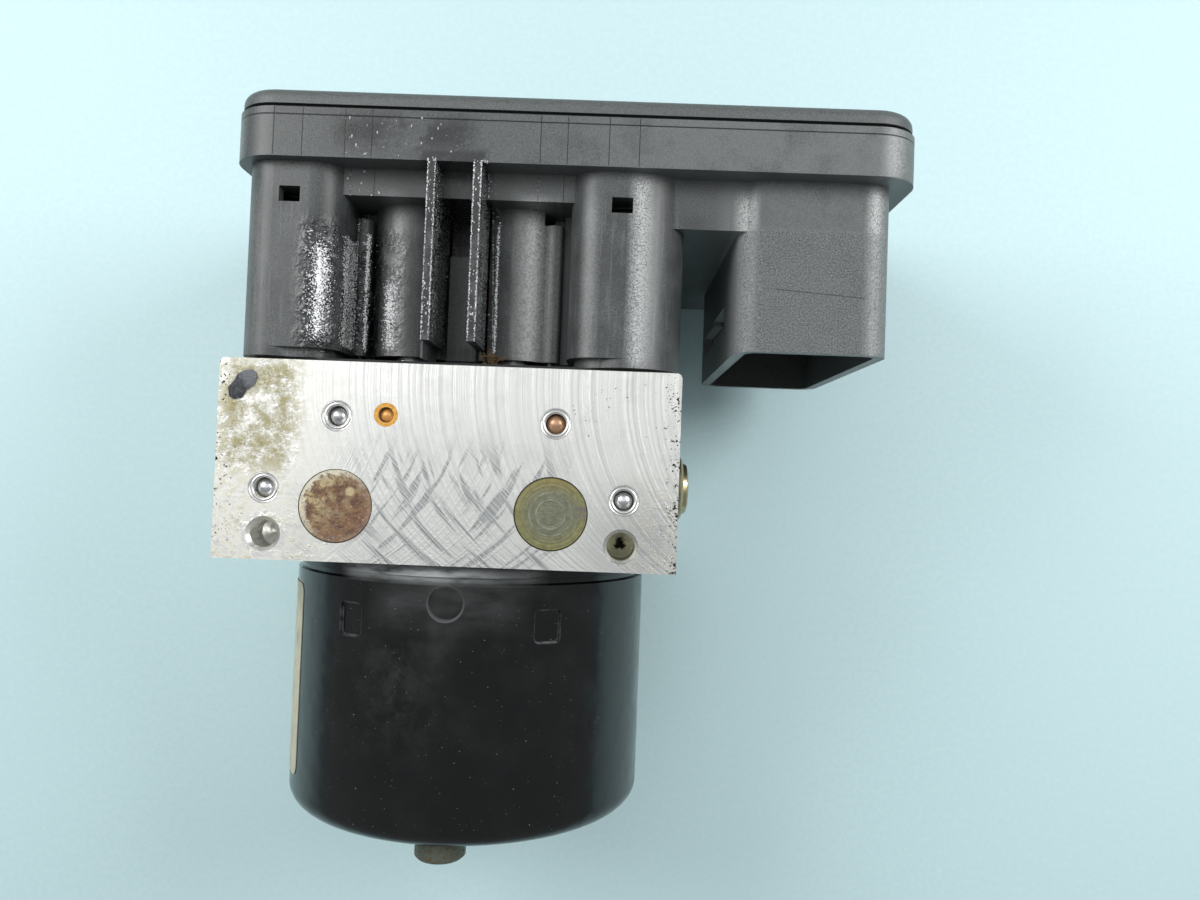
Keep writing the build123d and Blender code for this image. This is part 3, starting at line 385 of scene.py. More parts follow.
def fluid_film(look, front):
    """Brake fluid that sags and beads on the lobes, and lies smooth on the ribs and the rim."""
    running = most(
        look,
        look.above(-33.4, -26.6, 2, 31, 2.0, front),
        look.above(-26, -13.5, 2, 31, 2.0, front),
    )
    film = look.grain(4.5, 0.34, 0.5, running, Detail=5.0)
    sheet = most(
        look,
        look.above(-8, 6.4, 6, 46, 0.9, front),
        look.above(-27, 3, 45.5, 53, 2.5, front),
    )
    wet = most(look, film, look.grain(7, 0.34, 0.5, sheet, Detail=5.0))
    sags = look.grain(2.4, 0.3, 0.7, film, Detail=2.0)
    # Beads about 0.8 mm apart
    cells = look.add("TexVoronoi", look.place, Scale=1 / 0.8)
    bead = look.add("MapRange", cells, 0.5, 0.08, 0.0, look.grain(2.2, 0.45, 0.58, film))
    return wet, sags, bead


def painted_sparkles(look):
    """Painted highlights: white sparkle specks on the wet fluid, a white core down each flank, thinning out
    to dots.
    """
    streak_place = look.add("Mapping", look.place, Scale=(1.0, 0.12, 1.0))
    sparkle_streaks = look.grain(1.5, 0.38, 0.62, 1.0, streak_place, Detail=3.0)
    sparkle_streaks = look.add("MapRange", sparkle_streaks, 0.0, 1.0, 0.72, 1.0)
    flanks = (
        (-31.3, -27.7, 5, 26, 1.8, 0.88),
        (-25.8, -24.8, 4, 29, 0.5, 0.75),
        (-22.7, -21.9, 4, 31, 0.4, 1.0),
        (-17.6, -15.0, 4, 20, 1.3, 1.0),
        (7.4, 8.2, 4, 34, 0.4, 0.85),
        *[(x - 0.2, x + 0.2, 6, 44, 0.2, 0.62) for x in RIB_EDGES],
    )
    # The bands down each flank where painted sparkle highlights gather
    crust = most(look, *[look.above(*row) for row in flanks])
    crust = look.add("Math", crust, sparkle_streaks, operation="MULTIPLY")
    dots = look.grain(0.36, 0.28, 0.72, 1.0, Detail=2.0)
    level = look.add("MapRange", crust, 0.0, 1.0, 0.98, 0.06)
    return look.add("MapRange", look.add("Math", dots, level, operation="SUBTRACT"), 0.0, 0.14)


def moulded_nylon(sizes):
    """Glass-filled nylon: charcoal, fine spark-eroded grain, wet with brake fluid in places, with painted
    highlights on the lobes and corners.
    """
    look = Finish("glass filled nylon", IOR=1.53)
    # The real grain is too fine to show and is drawn at 0.3 mm
    speck = look.grain(0.3, 0.35, 0.75, 1.0, Detail=3.0)
    front = look.add("MapRange", look.z, 60, 76)
    # Dry dust on the rim and the shroud, thicker to the right; a wiped oily film on the lobes
    rightward = look.add("MapRange", look.x, -5, 50, 0.0, 0.34)
    open_faces = most(
        look,
        look.add("MapRange", look.y, BLOCK_TOP + 42, BLOCK_TOP + 44),
        look.add("MapRange", look.x, 56, 59, 0.0, 0.6),
    )
    open_faces = look.add("Math", open_faces, rightward, operation="MULTIPLY")
    wiped = look.above(-60, 56, 0, LOBE_END, 3.0, 0.42)
    # Long pale drags along the draw direction, as the mould leaves on deep walls
    drag_place = look.add("Mapping", look.place, Scale=(1.0, 0.05, 1.0))
    walls = look.add("MapRange", look.x, 57, 54, 0.0, 0.3)
    walls = look.within(look.y, BLOCK_TOP, BLOCK_TOP + LOBE_END, 3, walls)
    walls = look.add("Math", walls, front, operation="MULTIPLY")
    wet, sags, bead = fluid_film(look, front)
    # White specks of painted sparkle highlight on the wet flanks
    sparkle_highlights = painted_sparkles(look)
    # Painted highlight: a broad pale sheen down the crown of each lobe
    crown_highlights = (
        (-45.5, -43.5, 2.2, 0.32), (-17.4, -13.4, 2.0, 0.5), (13.2, 19.5, 2.4, 0.95),
        (21.2, 21.8, 0.6, 0.7), (28.4, 30.0, 1.6, 0.4), (40.5, 42.5, 2.0, 0.5),
    )
    crown_highlights = most(look, *[look.within(look.x, *row) for row in crown_highlights])
    crown_highlights = look.within(look.y, BLOCK_TOP + 1, BLOCK_TOP + LOBE_END, 2.5, crown_highlights)
    # Painted highlights glitter on the rounded corners, in the eroded grain of about 0.35 mm
    corner_highlights = (
        (38.6, 41.0, 1, 42, 1.8, 1.0),
        (61.8, 64.4, 4, 40, 1.8, 0.8),
        (90.4, 93.0, 4, 42, 1.8, 0.9),
        (93.0, 96.0, RIM_START, RIM_END, 2.4, 0.6),
        (-51, -47.5, RIM_START, RIM_END, 1.6, 0.3),
    )
    corner_highlights = most(look, *[look.above(*row) for row in corner_highlights])
    corner_highlights = look.add("Math", corner_highlights, front, operation="MULTIPLY")
    parting = look.within(look.y, BLOCK_TOP + 52.35, BLOCK_TOP + 52.55, 0.06)
    # The shroud's walls are eroded more coarsely, about 0.3 mm, and cut by one thin scratch
    shroud = look.above(61, 97, 4, 32.5, 0.6)
    eroded = look.grain(0.32, 0.42, 0.6, shroud, Detail=2.0)
    lean = look.add("Math", look.add("Math", look.x, 0.07, operation="MULTIPLY"), look.y, operation="ADD")
    scratch = look.within(look.x, 68, 90, 2, 0.9)
    scratch = look.within(lean, BLOCK_TOP + 24.3, BLOCK_TOP + 24.5, 0.12, scratch)
    # Light does not reach the walls inside the shroud, and no dust settles there
    mouth = look.above(64.0, 93.2, 5.5, 31, 0.3, look.within(look.z, 20, 95.3, 0.4, 0.8))
    tone = look.coats(
        sizes.nylon,
        (speck, sizes.nylon_light),
        (look.grain(14, 0.35, 0.7, 0.35), sizes.nylon_dust),
        (look.grain(9, 0.25, 0.5, open_faces, Detail=5.0), "#828685"),
        (look.grain(8, 0.34, 0.6, wiped, Detail=5.0), sizes.wet_nylon),
        (look.grain(1.1, 0.56, 0.7, walls, drag_place), "#7c8186"),
        (look.add("Math", wet, 0.78, operation="MULTIPLY"), sizes.wet_nylon),
        # Painted sparkle highlights, white
        (sparkle_highlights, "#fafcfc"),
        # Painted highlights down the lobes' crowns
        (look.grain(0.6, 0.1, 0.6, crown_highlights, Detail=5.0), "#b2b4b3"),
        # Painted highlights on the rounded corners
        (look.grain(0.35, 0.32, 0.62, corner_highlights, Detail=3.0), "#d6d9d8"),
        (parting, "#0b0c0e"),
        (look.add("Math", eroded, 0.6, operation="MULTIPLY"), "#959999"),
        (look.grain(1.5, 0.3, 0.5, scratch), "#17191a"),
        (mouth, "#0c0d0e"),
    )
    rough = look.add("MapRange", speck, 0.0, 1.0, 0.34, 0.52)
    for mask, smooth in ((wet, 0.13), (sparkle_highlights, 0.5), (shroud, 0.36)):
        rough = look.add("MapRange", mask, 0.0, 1.0, rough, smooth)
    normal = look.add("Bump", Height=speck, Distance=0.02 * MM)
    worn = look.add("Math", eroded, parting, operation="SUBTRACT")
    for height, depth in ((worn, 0.12), (sags, 0.45), (bead, 0.2)):
        normal = look.add("Bump", Height=height, Distance=depth * MM, Normal=normal)
    return look.wear(Base_Color=tone, Roughness=rough, Normal=normal)


def lid_nylon(sizes):
    """The lid's nylon: a shade lighter, satin and finely speckled, with painted shade where it meets the
    rim.
    """
    look = Finish("satin lid nylon", IOR=1.53)
    # The real grain is too fine to show and is drawn at 0.35 mm
    speck = look.grain(0.35, 0.35, 0.75, 1.0, Detail=3.0, Roughness=0.7)
    tone = look.coats(
        sizes.lid,
        (speck, sizes.lid_light),
        (look.grain(18, 0.4, 0.7, 0.3), sizes.nylon_dust),
        # Painted shade in the gap where the lid meets the rim
        (look.add("MapRange", look.y, BLOCK_TOP + 55.1, BLOCK_TOP + 54.9), "#070a14"),
    )
    rough = look.add("MapRange", speck, 0.0, 1.0, 0.4, 0.56)
    normal = look.add("Bump", Height=speck, Distance=0.03 * MM)
    return look.wear(Base_Color=tone, Roughness=rough, Normal=normal)


def tab_outline(look):
    """The edge of the two tabs embossed in the can, as distance from their rounded outline."""
    across, up = [
        look.add("Math", axis, centre, operation="SUBTRACT")
        for axis, centre in ((look.x, MOTOR_AXIS[0]), (look.z, MOTOR_AXIS[1]))
    ]
    turn = look.add("Math", look.add("Math", across, up, operation="ARCTAN2"), operation="ABSOLUTE")
    aside = look.add("Math", look.add("Math", turn, TAB_TURN, operation="SUBTRACT"), operation="ABSOLUTE")
    aside = look.add("Math", aside, CAN_RADIUS, operation="MULTIPLY")
    below = look.add("Math", look.y, BLOCK_FOOT - TAB_FALL, operation="SUBTRACT")
    below = look.add("Math", below, operation="ABSOLUTE")
    beyond = [
        look.add("Math", look.add("Math", away, straight, operation="SUBTRACT"), 0.0, operation="MAXIMUM")
        for away, straight in ((aside, TAB_HALF_WIDTH), (below, TAB_HALF_HEIGHT))
    ]
    rounded = look.add("VectorMath", look.add("CombineXYZ", *beyond), operation="LENGTH", output="Value")
    return look.within(rounded, *TAB_CORNER, 0.2, 0.5)


def gloss_enamel(sizes):
    """Baked black enamel on drawn steel: deep gloss, slow ripple, a painted soft sheen near the block and
    painted highlights on the tabs' edges.
    """
    look = Finish("black enamel", IOR=1.52)
    ripple = look.grain(6.0, 0.3, 0.7, 1.0, Detail=1.0)
    smear = look.grain(11, 0.42, 0.68, 0.35, Detail=5.0)
    # Painted highlight right under the block: a sheen drawn in long waves, brightest at the left
    wave_place = look.add("Mapping", look.place, Rotation=(0, 0, 0.12), Scale=(0.25, 1.0, 0.5))
    bright = look.add("MapRange", look.x, -2, 12, 1.0, 0.4)
    band = look.area(-23, 21, BLOCK_FOOT - 3.0, BLOCK_FOOT - 1.2, 1.6, bright)
    sheen_waves = look.grain(2.2, 0.25, 0.6, band, wave_place, Detail=2.0)
    # A broad, fainter painted sheen round the dimple, but not in it
    broad_sheen = look.area(-14, 16, BLOCK_FOOT - 12.5, BLOCK_FOOT - 4.5, 3.5, 0.28)
    dimple = radius_from(look, MOTOR_AXIS[0], BLOCK_FOOT - DIMPLE_FALL)
    broad_sheen = look.add("MapRange", dimple, 3.5, 4.2, 0.0, broad_sheen)
    broad_sheen = look.grain(4.0, 0.25, 0.7, broad_sheen, wave_place, Detail=3.0)
    hazy = look.area(-17, -2, -60, -36, 6, 0.5)
    streaks = look.grain(5.0, 0.42, 0.68, hazy, Detail=6.0, Roughness=0.7)
    # Pale dust specks, and painted highlights on the sharp edges of the two tabs and of the dimple's lower
    # half
    specks = look.grain(0.6, 0.72, 0.76, 0.5, Detail=2.0)
    outline = look.grain(3.0, 0.3, 0.6, tab_outline(look))
    lower = look.add("MapRange", look.y, BLOCK_FOOT - 7, BLOCK_FOOT - 11, 0.1, 0.5)
    pale = most(look, specks, outline, look.within(dimple, 3.75, 4.0, 0.25, lower))
    tone = look.coats(
        sizes.enamel,
        (smear, sizes.enamel_haze),
        (streaks, "#3a3d39"),
        # Painted sheen: broad and grey, then the bright waves
        (broad_sheen, "#6a6e6e"),
        (sheen_waves, "#c6caca"),
        # Dust specks and painted edge highlights, pale grey
        (pale, "#9b9fa1"),
    )
    rough = look.add("MapRange", smear, 0.0, 0.35, 0.14, 0.26)
    rough = look.add("MapRange", most(look, pale, sheen_waves, broad_sheen), 0.0, 1.0, rough, 0.5)
    normal = look.add("Bump", Height=ripple, Distance=0.05 * MM)
    normal = look.add("Bump", Height=sheen_waves, Distance=0.08 * MM, Normal=normal)
    return look.wear(Base_Color=tone, Roughness=rough, Normal=normal)


def peg_steel(sizes):
    """Bare steel peg: grey with rust specks under a millimetre."""
    look = Finish("rust speckled steel", Metallic=0.5)
    rust = look.grain(0.8, 0.5, 0.62, 1.0, Detail=5.0, Roughness=0.7)
    tone = look.add("Mix", rust, "#5f655a", sizes.rust, data_type="RGBA")
    rough = look.add("MapRange", rust, 0.0, 1.0, 0.4, 0.8)
    normal = look.add("Bump", Height=rust, Distance=0.08 * MM)
    return look.wear(Base_Color=tone, Roughness=rough, Normal=normal)


def golden_plug(sizes):
    """Yellow-passivated steel plug: pale brass, bright on its dome, dark at its collar's foot."""
    look = Finish("yellow passivated steel", Metallic=0.9)
    cloud = look.grain(1.4, 0.4, 0.68, 0.5)
    out = look.add("Math", look.x, operation="ABSOLUTE")
    collar = look.add("MapRange", out, 54.2, 52.2, 0.0, 0.75)
    tone = look.coats(sizes.passivate, (cloud, "#7b6b42"), (collar, "#3a3224"))
    rough = look.add("MapRange", cloud, 0.0, 0.5, 0.24, 0.42)
    normal = look.add("Bump", Height=cloud, Distance=0.01 * MM)
    return look.wear(Base_Color=tone, Roughness=rough, Normal=normal)


def bare_label(sizes):
    """Matt beige label stock, lightly soiled, its fibres just showing."""
    look = Finish("beige label stock", Roughness=0.62)
    # Real fibres are too fine to show and are drawn at 0.4 mm
    fibre = look.grain(0.4, 0.35, 0.7, 0.35)
    soil = look.grain(5, 0.45, 0.72, 0.5)
    tone = look.coats(sizes.label, (fibre, "#aeaa92"), (soil, "#86816c"))
    return look.wear(Base_Color=tone, Normal=look.add("Bump", Height=fibre, Distance=0.02 * MM))


def inner_finish(name, first, second, metal, rough, size, depth):
    """A finish in two tones, in grain of a size and a depth in millimetres."""
    look = Finish(name, Metallic=metal)
    grain = look.grain(size, 0.35, 0.7)
    roughness = look.add("MapRange", grain, 0.0, 1.0, rough, min(1.0, rough + 0.15))
    tone = look.add("Mix", grain, first, second, data_type="RGBA")
    normal = look.add("Bump", Height=grain, Distance=depth * MM)
    return look.wear(Base_Color=tone, Roughness=roughness, Normal=normal)


def wound_copper():
    """Enamelled copper wire in close layers of 0.4 mm turns."""
    look = Finish("enamelled copper wire", Metallic=0.8, Roughness=0.32)
    angle = look.add("Math", look.y, math.pi / 0.4, operation="MULTIPLY")
    turns = look.add("Math", look.add("Math", angle, operation="SINE"), operation="ABSOLUTE")
    tone = look.add("Mix", turns, "#5a2a14", "#b8683a", data_type="RGBA")
    return look.wear(Base_Color=tone, Normal=look.add("Bump", Height=turns, Distance=0.12 * MM))


def solder_resist():
    """Green solder resist over glass laminate, with a faint weave of 0.5 mm."""
    look = Finish("green solder resist", Roughness=0.3, IOR=1.5)
    warp, weft = [
        look.add("Math", look.add("Math", axis, math.pi / 0.5, operation="MULTIPLY"), operation="SINE")
        for axis in (look.x, look.z)
    ]
    weave = look.add("Math", warp, weft, operation="MULTIPLY")
    share = look.add("MapRange", weave, -1.0, 1.0, 0.0, 0.3)
    tone = look.add("Mix", share, "#1d5a34", "#2c7a48", data_type="RGBA")
    return look.wear(Base_Color=tone, Normal=look.add("Bump", Height=weave, Distance=0.005 * MM))


def both(kind):
    """The left and the right node of a kind."""
    return [f"{kind}_{side}" for side in ("left", "right")]


def dress(names, material):
    """Gives CAD nodes their finish."""
    for name in names:
        mesh = frame["nodes"][name].data
        mesh.materials.clear()
        mesh.materials.append(material)
        for polygon in mesh.polygons:
            polygon.material_index = 0


def piece(name, built, material, smooth=False, body="unit"):
    """Puts a built shape in the scene as a finished mesh, riding on a body."""
    mesh = bpy.data.meshes.new(name)
    built.to_mesh(mesh)
    built.free()
    for polygon in mesh.polygons:
        polygon.use_smooth = smooth
    made = bpy.data.objects.new(name, mesh)
    bpy.context.scene.collection.objects.link(made)
    mesh.materials.append(material)
    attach(made, body)


def corners_at(built, points):
    """New vertices at points in millimetres."""
    return [built.verts.new(Vector(point) * MM) for point in points]


def skin(built, rings):
    """Joins each ring of vertices to the next one with a belt of faces."""
    for low, high in zip(rings, rings[1:]):
        for step in range(len(low)):
            after = (step + 1) % len(low)
            built.faces.new((low[step], low[after], high[after], high[step]))


def close_ends(built, rings):
    """Closes the first and the last ring with a face."""
    built.faces.new(rings[0][::-1])
    built.faces.new(rings[-1])


def surface_under(name, x, y):
    """Point and normal of a CAD node's surface straight below a place, in millimetres."""
    start = Vector((x, y, ABOVE_ALL)) * MM
    hit, spot, normal, _ = frame["nodes"][name].ray_cast(start, Vector((0, 0, -1)))
    return (spot / MM, normal) if hit else (None, None)


class BlockSizes(bpy.types.PropertyGroup):
    cutter_radius: bpy.props.FloatProperty(
        name="Cutter radius", description="Radius of the face mill's marks",
        default=0.049, min=0.03, max=0.2, unit="LENGTH",
    )
    arc_centre: bpy.props.FloatProperty(
        name="Arc height", description="Height at which the cutter marks stand upright",
        default=0.019, min=-0.05, max=0.05, unit="LENGTH",
    )
    feed: bpy.props.FloatProperty(
        name="Feed", description="Distance between two cutter marks",
        default=0.0011, min=0.0002, max=0.005, unit="LENGTH",
    )
    bright: colour("Cut metal", "#e4e4e0", "Freshly milled alloy")
    tooth_mark: colour("Tooth mark", "#a4a6a6", "Shaded side of a cutter mark")
    burnished: colour("Burnished strip", "#7f8386", "Grey strips where the passes cross")
    oxide: colour("Oxide", "#d2cfbf", "Powdery white corrosion")
    crust: colour("Crust", "#999059", "Yellow-green stain")
    pit: colour("Pit", "#26231c", "Dark corrosion pits")
    rust: colour("Rust", "#896a50", "Brown rust")
    dark_rust: colour("Dark rust", "#5f4235", "Old rust")
    pale_rust: colour("Pale rust", "#bfae86", "Raised ochre rust")
    rim_crust: colour("Rim crust", "#d8d2bd", "Pale crust round the rusty cap")
    chromate: colour("Chromate", "#8f8d62", "Yellow chromate film")
    worn_chromate: colour("Worn chromate", "#7d8070", "Film worn to the steel")
    passivate: colour("Passivation", "#b9ae8c", "Brassy film of the pump plugs")
    lacquer: colour("Lacquer", "#dba23f", "Amber sealing lacquer")
    thick_lacquer: colour("Thick lacquer", "#bd8228", "Lacquer where it is thick")


class UnitSizes(bpy.types.PropertyGroup):
    nylon: colour("Nylon", "#313434", "Housing")
    nylon_light: colour("Nylon grain", "#646868", "Light specks of the housing")
    nylon_dust: colour("Dust", "#4c4f4e", "Dry dust film")
    wet_nylon: colour("Wet nylon", "#0d0f12", "Housing under brake fluid")
    lid: colour("Lid", "#444847", "Lid")
    lid_light: colour("Lid grain", "#6e7272", "Light specks of the lid")
    line_height: bpy.props.FloatProperty(
        name="Mould line", description="Height of the fine lines left between mould inserts",
        default=0.00007, min=0.0, max=0.0005, unit="LENGTH",
    )
    drops: bpy.props.IntProperty(
        name="Drops", description="Places tried for brake fluid drops, in groups of four",
        default=420, min=0, max=2000,
    )
    fibres: bpy.props.IntProperty(
        name="Fibres", description="Number of fibres in the lodged tuft", default=70, min=0, max=400
    )


class MotorSizes(bpy.types.PropertyGroup):
    enamel: colour("Enamel", "#050606", "Black enamel")
    enamel_haze: colour("Haze", "#191b1b", "Greasy haze on the enamel")
    label: colour("Label", "#c4c2ac", "Label stock")
    rust: colour("Rust", "#655638", "Rust on the peg")


class StageSizes(bpy.types.PropertyGroup):
    floor: colour("Floor", "#c6e4e8", "Pale floor")
    lens: bpy.props.FloatProperty(
        name="Lens", description="Focal length of the camera", default=27.9, min=10, max=200, unit="CAMERA"
    )
    lamp: bpy.props.FloatProperty(
        name="Lamp", description="Power that the soft lamps share", default=2.6, min=0, max=100, unit="POWER"
    )


class FINISH_OT_stage(bpy.types.Operator):
    """Floor, soft lamps, world and camera"""

    bl_idname = "finish.stage"
    bl_label = "Stage"

    def execute(self, context):
        sizes = context.scene.stage_sizes
        # Matt and pale, with a fine grain
        look = Finish("pale floor", Roughness=0.6)
        grain = look.grain(1.6, 0.35, 0.7, 0.12)
        tone = look.add("Mix", grain, sizes.floor, "#ffffff", data_type="RGBA")
        look.wear(Base_Color=tone, Normal=look.add("Bump", Height=grain, Distance=0.1 * MM))
        mesh = bpy.data.meshes.new("floor")
        sides = ((-1, -1), (1, -1), (1, 1), (-1, 1))
        mesh.from_pydata([(x * FLOOR_HALF, y * FLOOR_HALF, 0) for x, y in sides], [], [(0, 1, 2, 3)])
        mesh.materials.append(look.material)
        floor = bpy.data.objects.new("floor", mesh)
        floor.location.z = -FLOOR_DROP
        context.scene.collection.objects.link(floor)
        world = bpy.data.worlds.new("studio")
        world.use_nodes = True
        sky = world.node_tree.nodes["Background"].inputs
        sky["Color"].default_value = linear("#eef3f5")
        sky["Strength"].default_value = SKY_STRENGTH
        context.scene.world = world
        for name, place, size, power in LAMPS:
            light = bpy.data.lights.new(name, "AREA")
            light.shape = "SQUARE"
            light.size = size
            light.energy = sizes.lamp * power
            lamp = bpy.data.objects.new(name, light)
            lamp.location = place
            lamp.rotation_euler = (Vector(LAMP_AIM) - Vector(place)).to_track_quat("-Z", "Y").to_euler()
            context.scene.collection.objects.link(lamp)
        lens = bpy.data.cameras.new("camera")
        lens.lens = sizes.lens
        lens.sensor_width = SENSOR_WIDTH
        camera = bpy.data.objects.new("camera", lens)
        camera.location = CAMERA_PLACE
        camera.rotation_euler = Euler([math.radians(a) for a in CAMERA_TURN], "XYZ")
        context.scene.collection.objects.link(camera)
        context.scene.camera = camera
        context.scene.view_settings.view_transform = "Standard"
        return {"FINISHED"}


class FINISH_OT_block(bpy.types.Operator):
    """Valve block, accumulator caps, ball plugs and pump plugs"""

    bl_idname = "finish.block"
    bl_label = "Valve block"

    def execute(self, context):
        sizes = context.scene.block_sizes
        dress(["valve_block"], milled_aluminium(sizes))
        for name, make in (("accumulator_cap_left", rusty_cap), ("accumulator_cap_right", chromated_cap)):
            low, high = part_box(name)
            centre = ((low.x + high.x) / 2 / MM, (low.y + high.y) / 2 / MM)
            dress([name], make(sizes, centre))
        dress(["steel_ball_plugs"], bright_steel("polished ball steel", "#dcdee0", 0.26))
        copper = bright_steel("copper plated steel", "#bd9678", 0.3, "#75563f", 0.6)
        dress(["copper_ball_plug"], copper)
        lacquered = bright_steel("lacquered ball steel", "#e0a460", 0.3, "#b07838", 0.4)
        dress(["small_ball_plug"], lacquered)
        dress(["sealing_lacquer"], amber_lacquer(sizes))
        dress(both("pump_plug"), golden_plug(sizes))
        return {"FINISHED"}


def lathe(built, centre, section, steps):
    """Turns a closed section of radius and height round a line along Z, in millimetres."""
    turns = [2 * math.pi * step / steps for step in range(steps)]
    rings = []
    for radius, height in section:
        spots = [
            (centre[0] + radius * math.cos(turn), centre[1] + radius * math.sin(turn), FACE_Z + height)
            for turn in turns
        ]
        rings.append(corners_at(built, spots))
    skin(built, rings + rings[:1])


class FINISH_OT_stakes(bpy.types.Operator):
    """Raised staking rings round the ball plugs"""

    bl_idname = "finish.stakes"
    bl_label = "Staking rings"

    def execute(self, context):
        material = bright_steel("staked aluminium", "#dcdcda", 0.3, "#8c8e90")
        built = bmesh.new()
        for name in ("steel_ball_plugs", "copper_ball_plug"):
            points = [v.co / MM for v in frame["nodes"][name].data.vertices]
            while points:
                # One node holds several balls
                seed = points[0]
                near = [p for p in points if (p - seed).length < BALL_SPAN]
                points = [p for p in points if (p - seed).length >= BALL_SPAN]
                x = (min(p.x for p in near) + max(p.x for p in near)) / 2
                y = (min(p.y for p in near) + max(p.y for p in near)) / 2
                lathe(built, (x, y), STAKE_SECTION, RING_STEPS)
        piece("staking_rings", built, material, smooth=True)
        return {"FINISHED"}


class FINISH_OT_control_unit(bpy.types.Operator):
    """Control unit housing, lid, gasket and connector pins"""

    bl_idname = "finish.control_unit"
    bl_label = "Control unit"

    def execute(self, context):
        sizes = context.scene.unit_sizes
        dress(["ecu_housing"], moulded_nylon(sizes))
        dress(["ecu_lid"], lid_nylon(sizes))
        rubber = inner_finish("moulded rubber", "#101112", "#1c1d1e", 0.0, 0.6, 0.6, 0.01)
        dress(["housing_gasket"], rubber)
        dress(["connector_pins"], bright_steel("tinned bronze", "#c9c2ac", 0.25, "#8d8468"))
        return {"FINISHED"}


def strip(built, x, low, high, front, height, width):
    """A thin raised strip along Y, from one height over the block to another, on a face at a Z."""
    half = width / 2
    section = ((-half, -0.05), (half, -0.05), (half / 3, height), (-half / 3, height))
    ends = [
        corners_at(built, [(x + aside, BLOCK_TOP + y, front + up) for aside, up in section])
        for y in (low, high)
    ]
    skin(built, ends)
    close_ends(built, ends)


class FINISH_OT_mould_lines(bpy.types.Operator):
    """Hairlines between mould inserts on the rim and the wall under it"""

    bl_idname = "finish.mould_lines"
    bl_label = "Mould lines"

    def execute(self, context):
        height = context.scene.unit_sizes.line_height / MM
        rim_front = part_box("ecu_housing")[1].z / MM
        wall_front = FACE_Z - 4.0
        built = bmesh.new()
        for x in (-39.7, -33.5, -24.3, -18.5, 17.7, 23.5, 32.4, 38.9):
            strip(built, x, 43.6, 54.0, rim_front, height, 0.2)
        for x in (-24.7, -19.4, 17.0, 22.6):
            strip(built, x, 37.6, 43.3, wall_front, height, 0.18)
        # The lines stand so low that they only show as dark hairs
        material = inner_finish("moulded nylon edge", "#0c0d0f", "#23262a", 0.0, 0.4, 0.5, 0.01)
        piece("mould_lines", built, material)
        return {"FINISHED"}


class FINISH_OT_drops(bpy.types.Operator):
    """Drops of brake fluid on the control unit's wet places"""

    bl_idname = "finish.drops"
    bl_label = "Brake fluid drops"

    def execute(self, context):
        sizes = context.scene.unit_sizes
        # Clear fluid: each drop has a sharp highlight and a grey edge; its pale base colour, from grey to
        # near white, is a painted reflection
        look = Finish("brake fluid drop", Roughness=0.04, IOR=1.44, Coat_Weight=0.5, Coat_Roughness=0.02)
        depth = look.grain(1.0, 0.3, 0.7, Detail=2.0)
        look.wear(Base_Color=look.add("Mix", depth, "#6b7074", "#e2e5e6", data_type="RGBA"))
        rng = random.Random(7)
        # Range in X, range in height over the block, and how often a drop falls there
        areas = (
            (-32.8, -27.4, 4, 29, 8), (-25.8, -20.6, 5, 34, 4), (-18.6, -14.0, 4, 23, 4),
            (-6.2, -4.2, 6, 44, 3), (4.0, 8.2, 6, 44, 4), (-25.5, -18.0, 37, 53, 1),
            (-18.0, 0.0, 44, 53, 1),
        )
        # X at the upper and at the lower end of an edge that drops hang on
        edges = (*[(x, x) for x in RIB_EDGES], (5.9, 7.4), (-24.7, -24.7), (17.0, 17.0))
        edge_top, edge_length = BLOCK_TOP + 44, 39
        weights = [a[4] for a in areas]
        built = bmesh.new()
        for count in range(sizes.drops * 4):
            x0, x1, low, high, _ = rng.choices(areas, weights)[0]
            x, y = rng.uniform(x0, x1), rng.uniform(BLOCK_TOP + low, BLOCK_TOP + high)
            size = rng.uniform(*FACE_DROP)
            if count % 4:
                upper, lower = rng.choice(edges)
                share = rng.random() ** 0.8
                x = upper + (lower - upper) * share + rng.gauss(0, 0.06)
                y = edge_top - edge_length * share
                size = rng.uniform(*EDGE_DROP)
            spot, normal = surface_under("ecu_housing", x, y)
            if spot is None or spot.z < LOWEST_DROP:
                continue
            place = Matrix.Translation(spot * MM) @ normal.to_track_quat("Z", "Y").to_matrix().to_4x4()
            shape = Matrix.Diagonal((size, size * rng.uniform(1.0, 2.2), size * DROP_RISE, 1.0))
            bmesh.ops.create_icosphere(built, subdivisions=1, radius=MM, matrix=place @ shape)
        piece("fluid_drops", built, look.material, smooth=True)
        return {"FINISHED"}


def thread(built, points, radius):
    """A thin four-sided fibre through points, in millimetres."""
    turns = [step * math.pi / 2 for step in range(4)]
    rings = []
    for here, after in zip(points, points[1:] + [points[-1] * 2 - points[-2]]):
        turned = (after - here).to_track_quat("Z", "Y")
        sides = [Vector((math.cos(turn), math.sin(turn), 0)) * radius for turn in turns]
        rings.append(corners_at(built, [here + turned @ side for side in sides]))
    skin(built, rings)
    close_ends(built, rings)


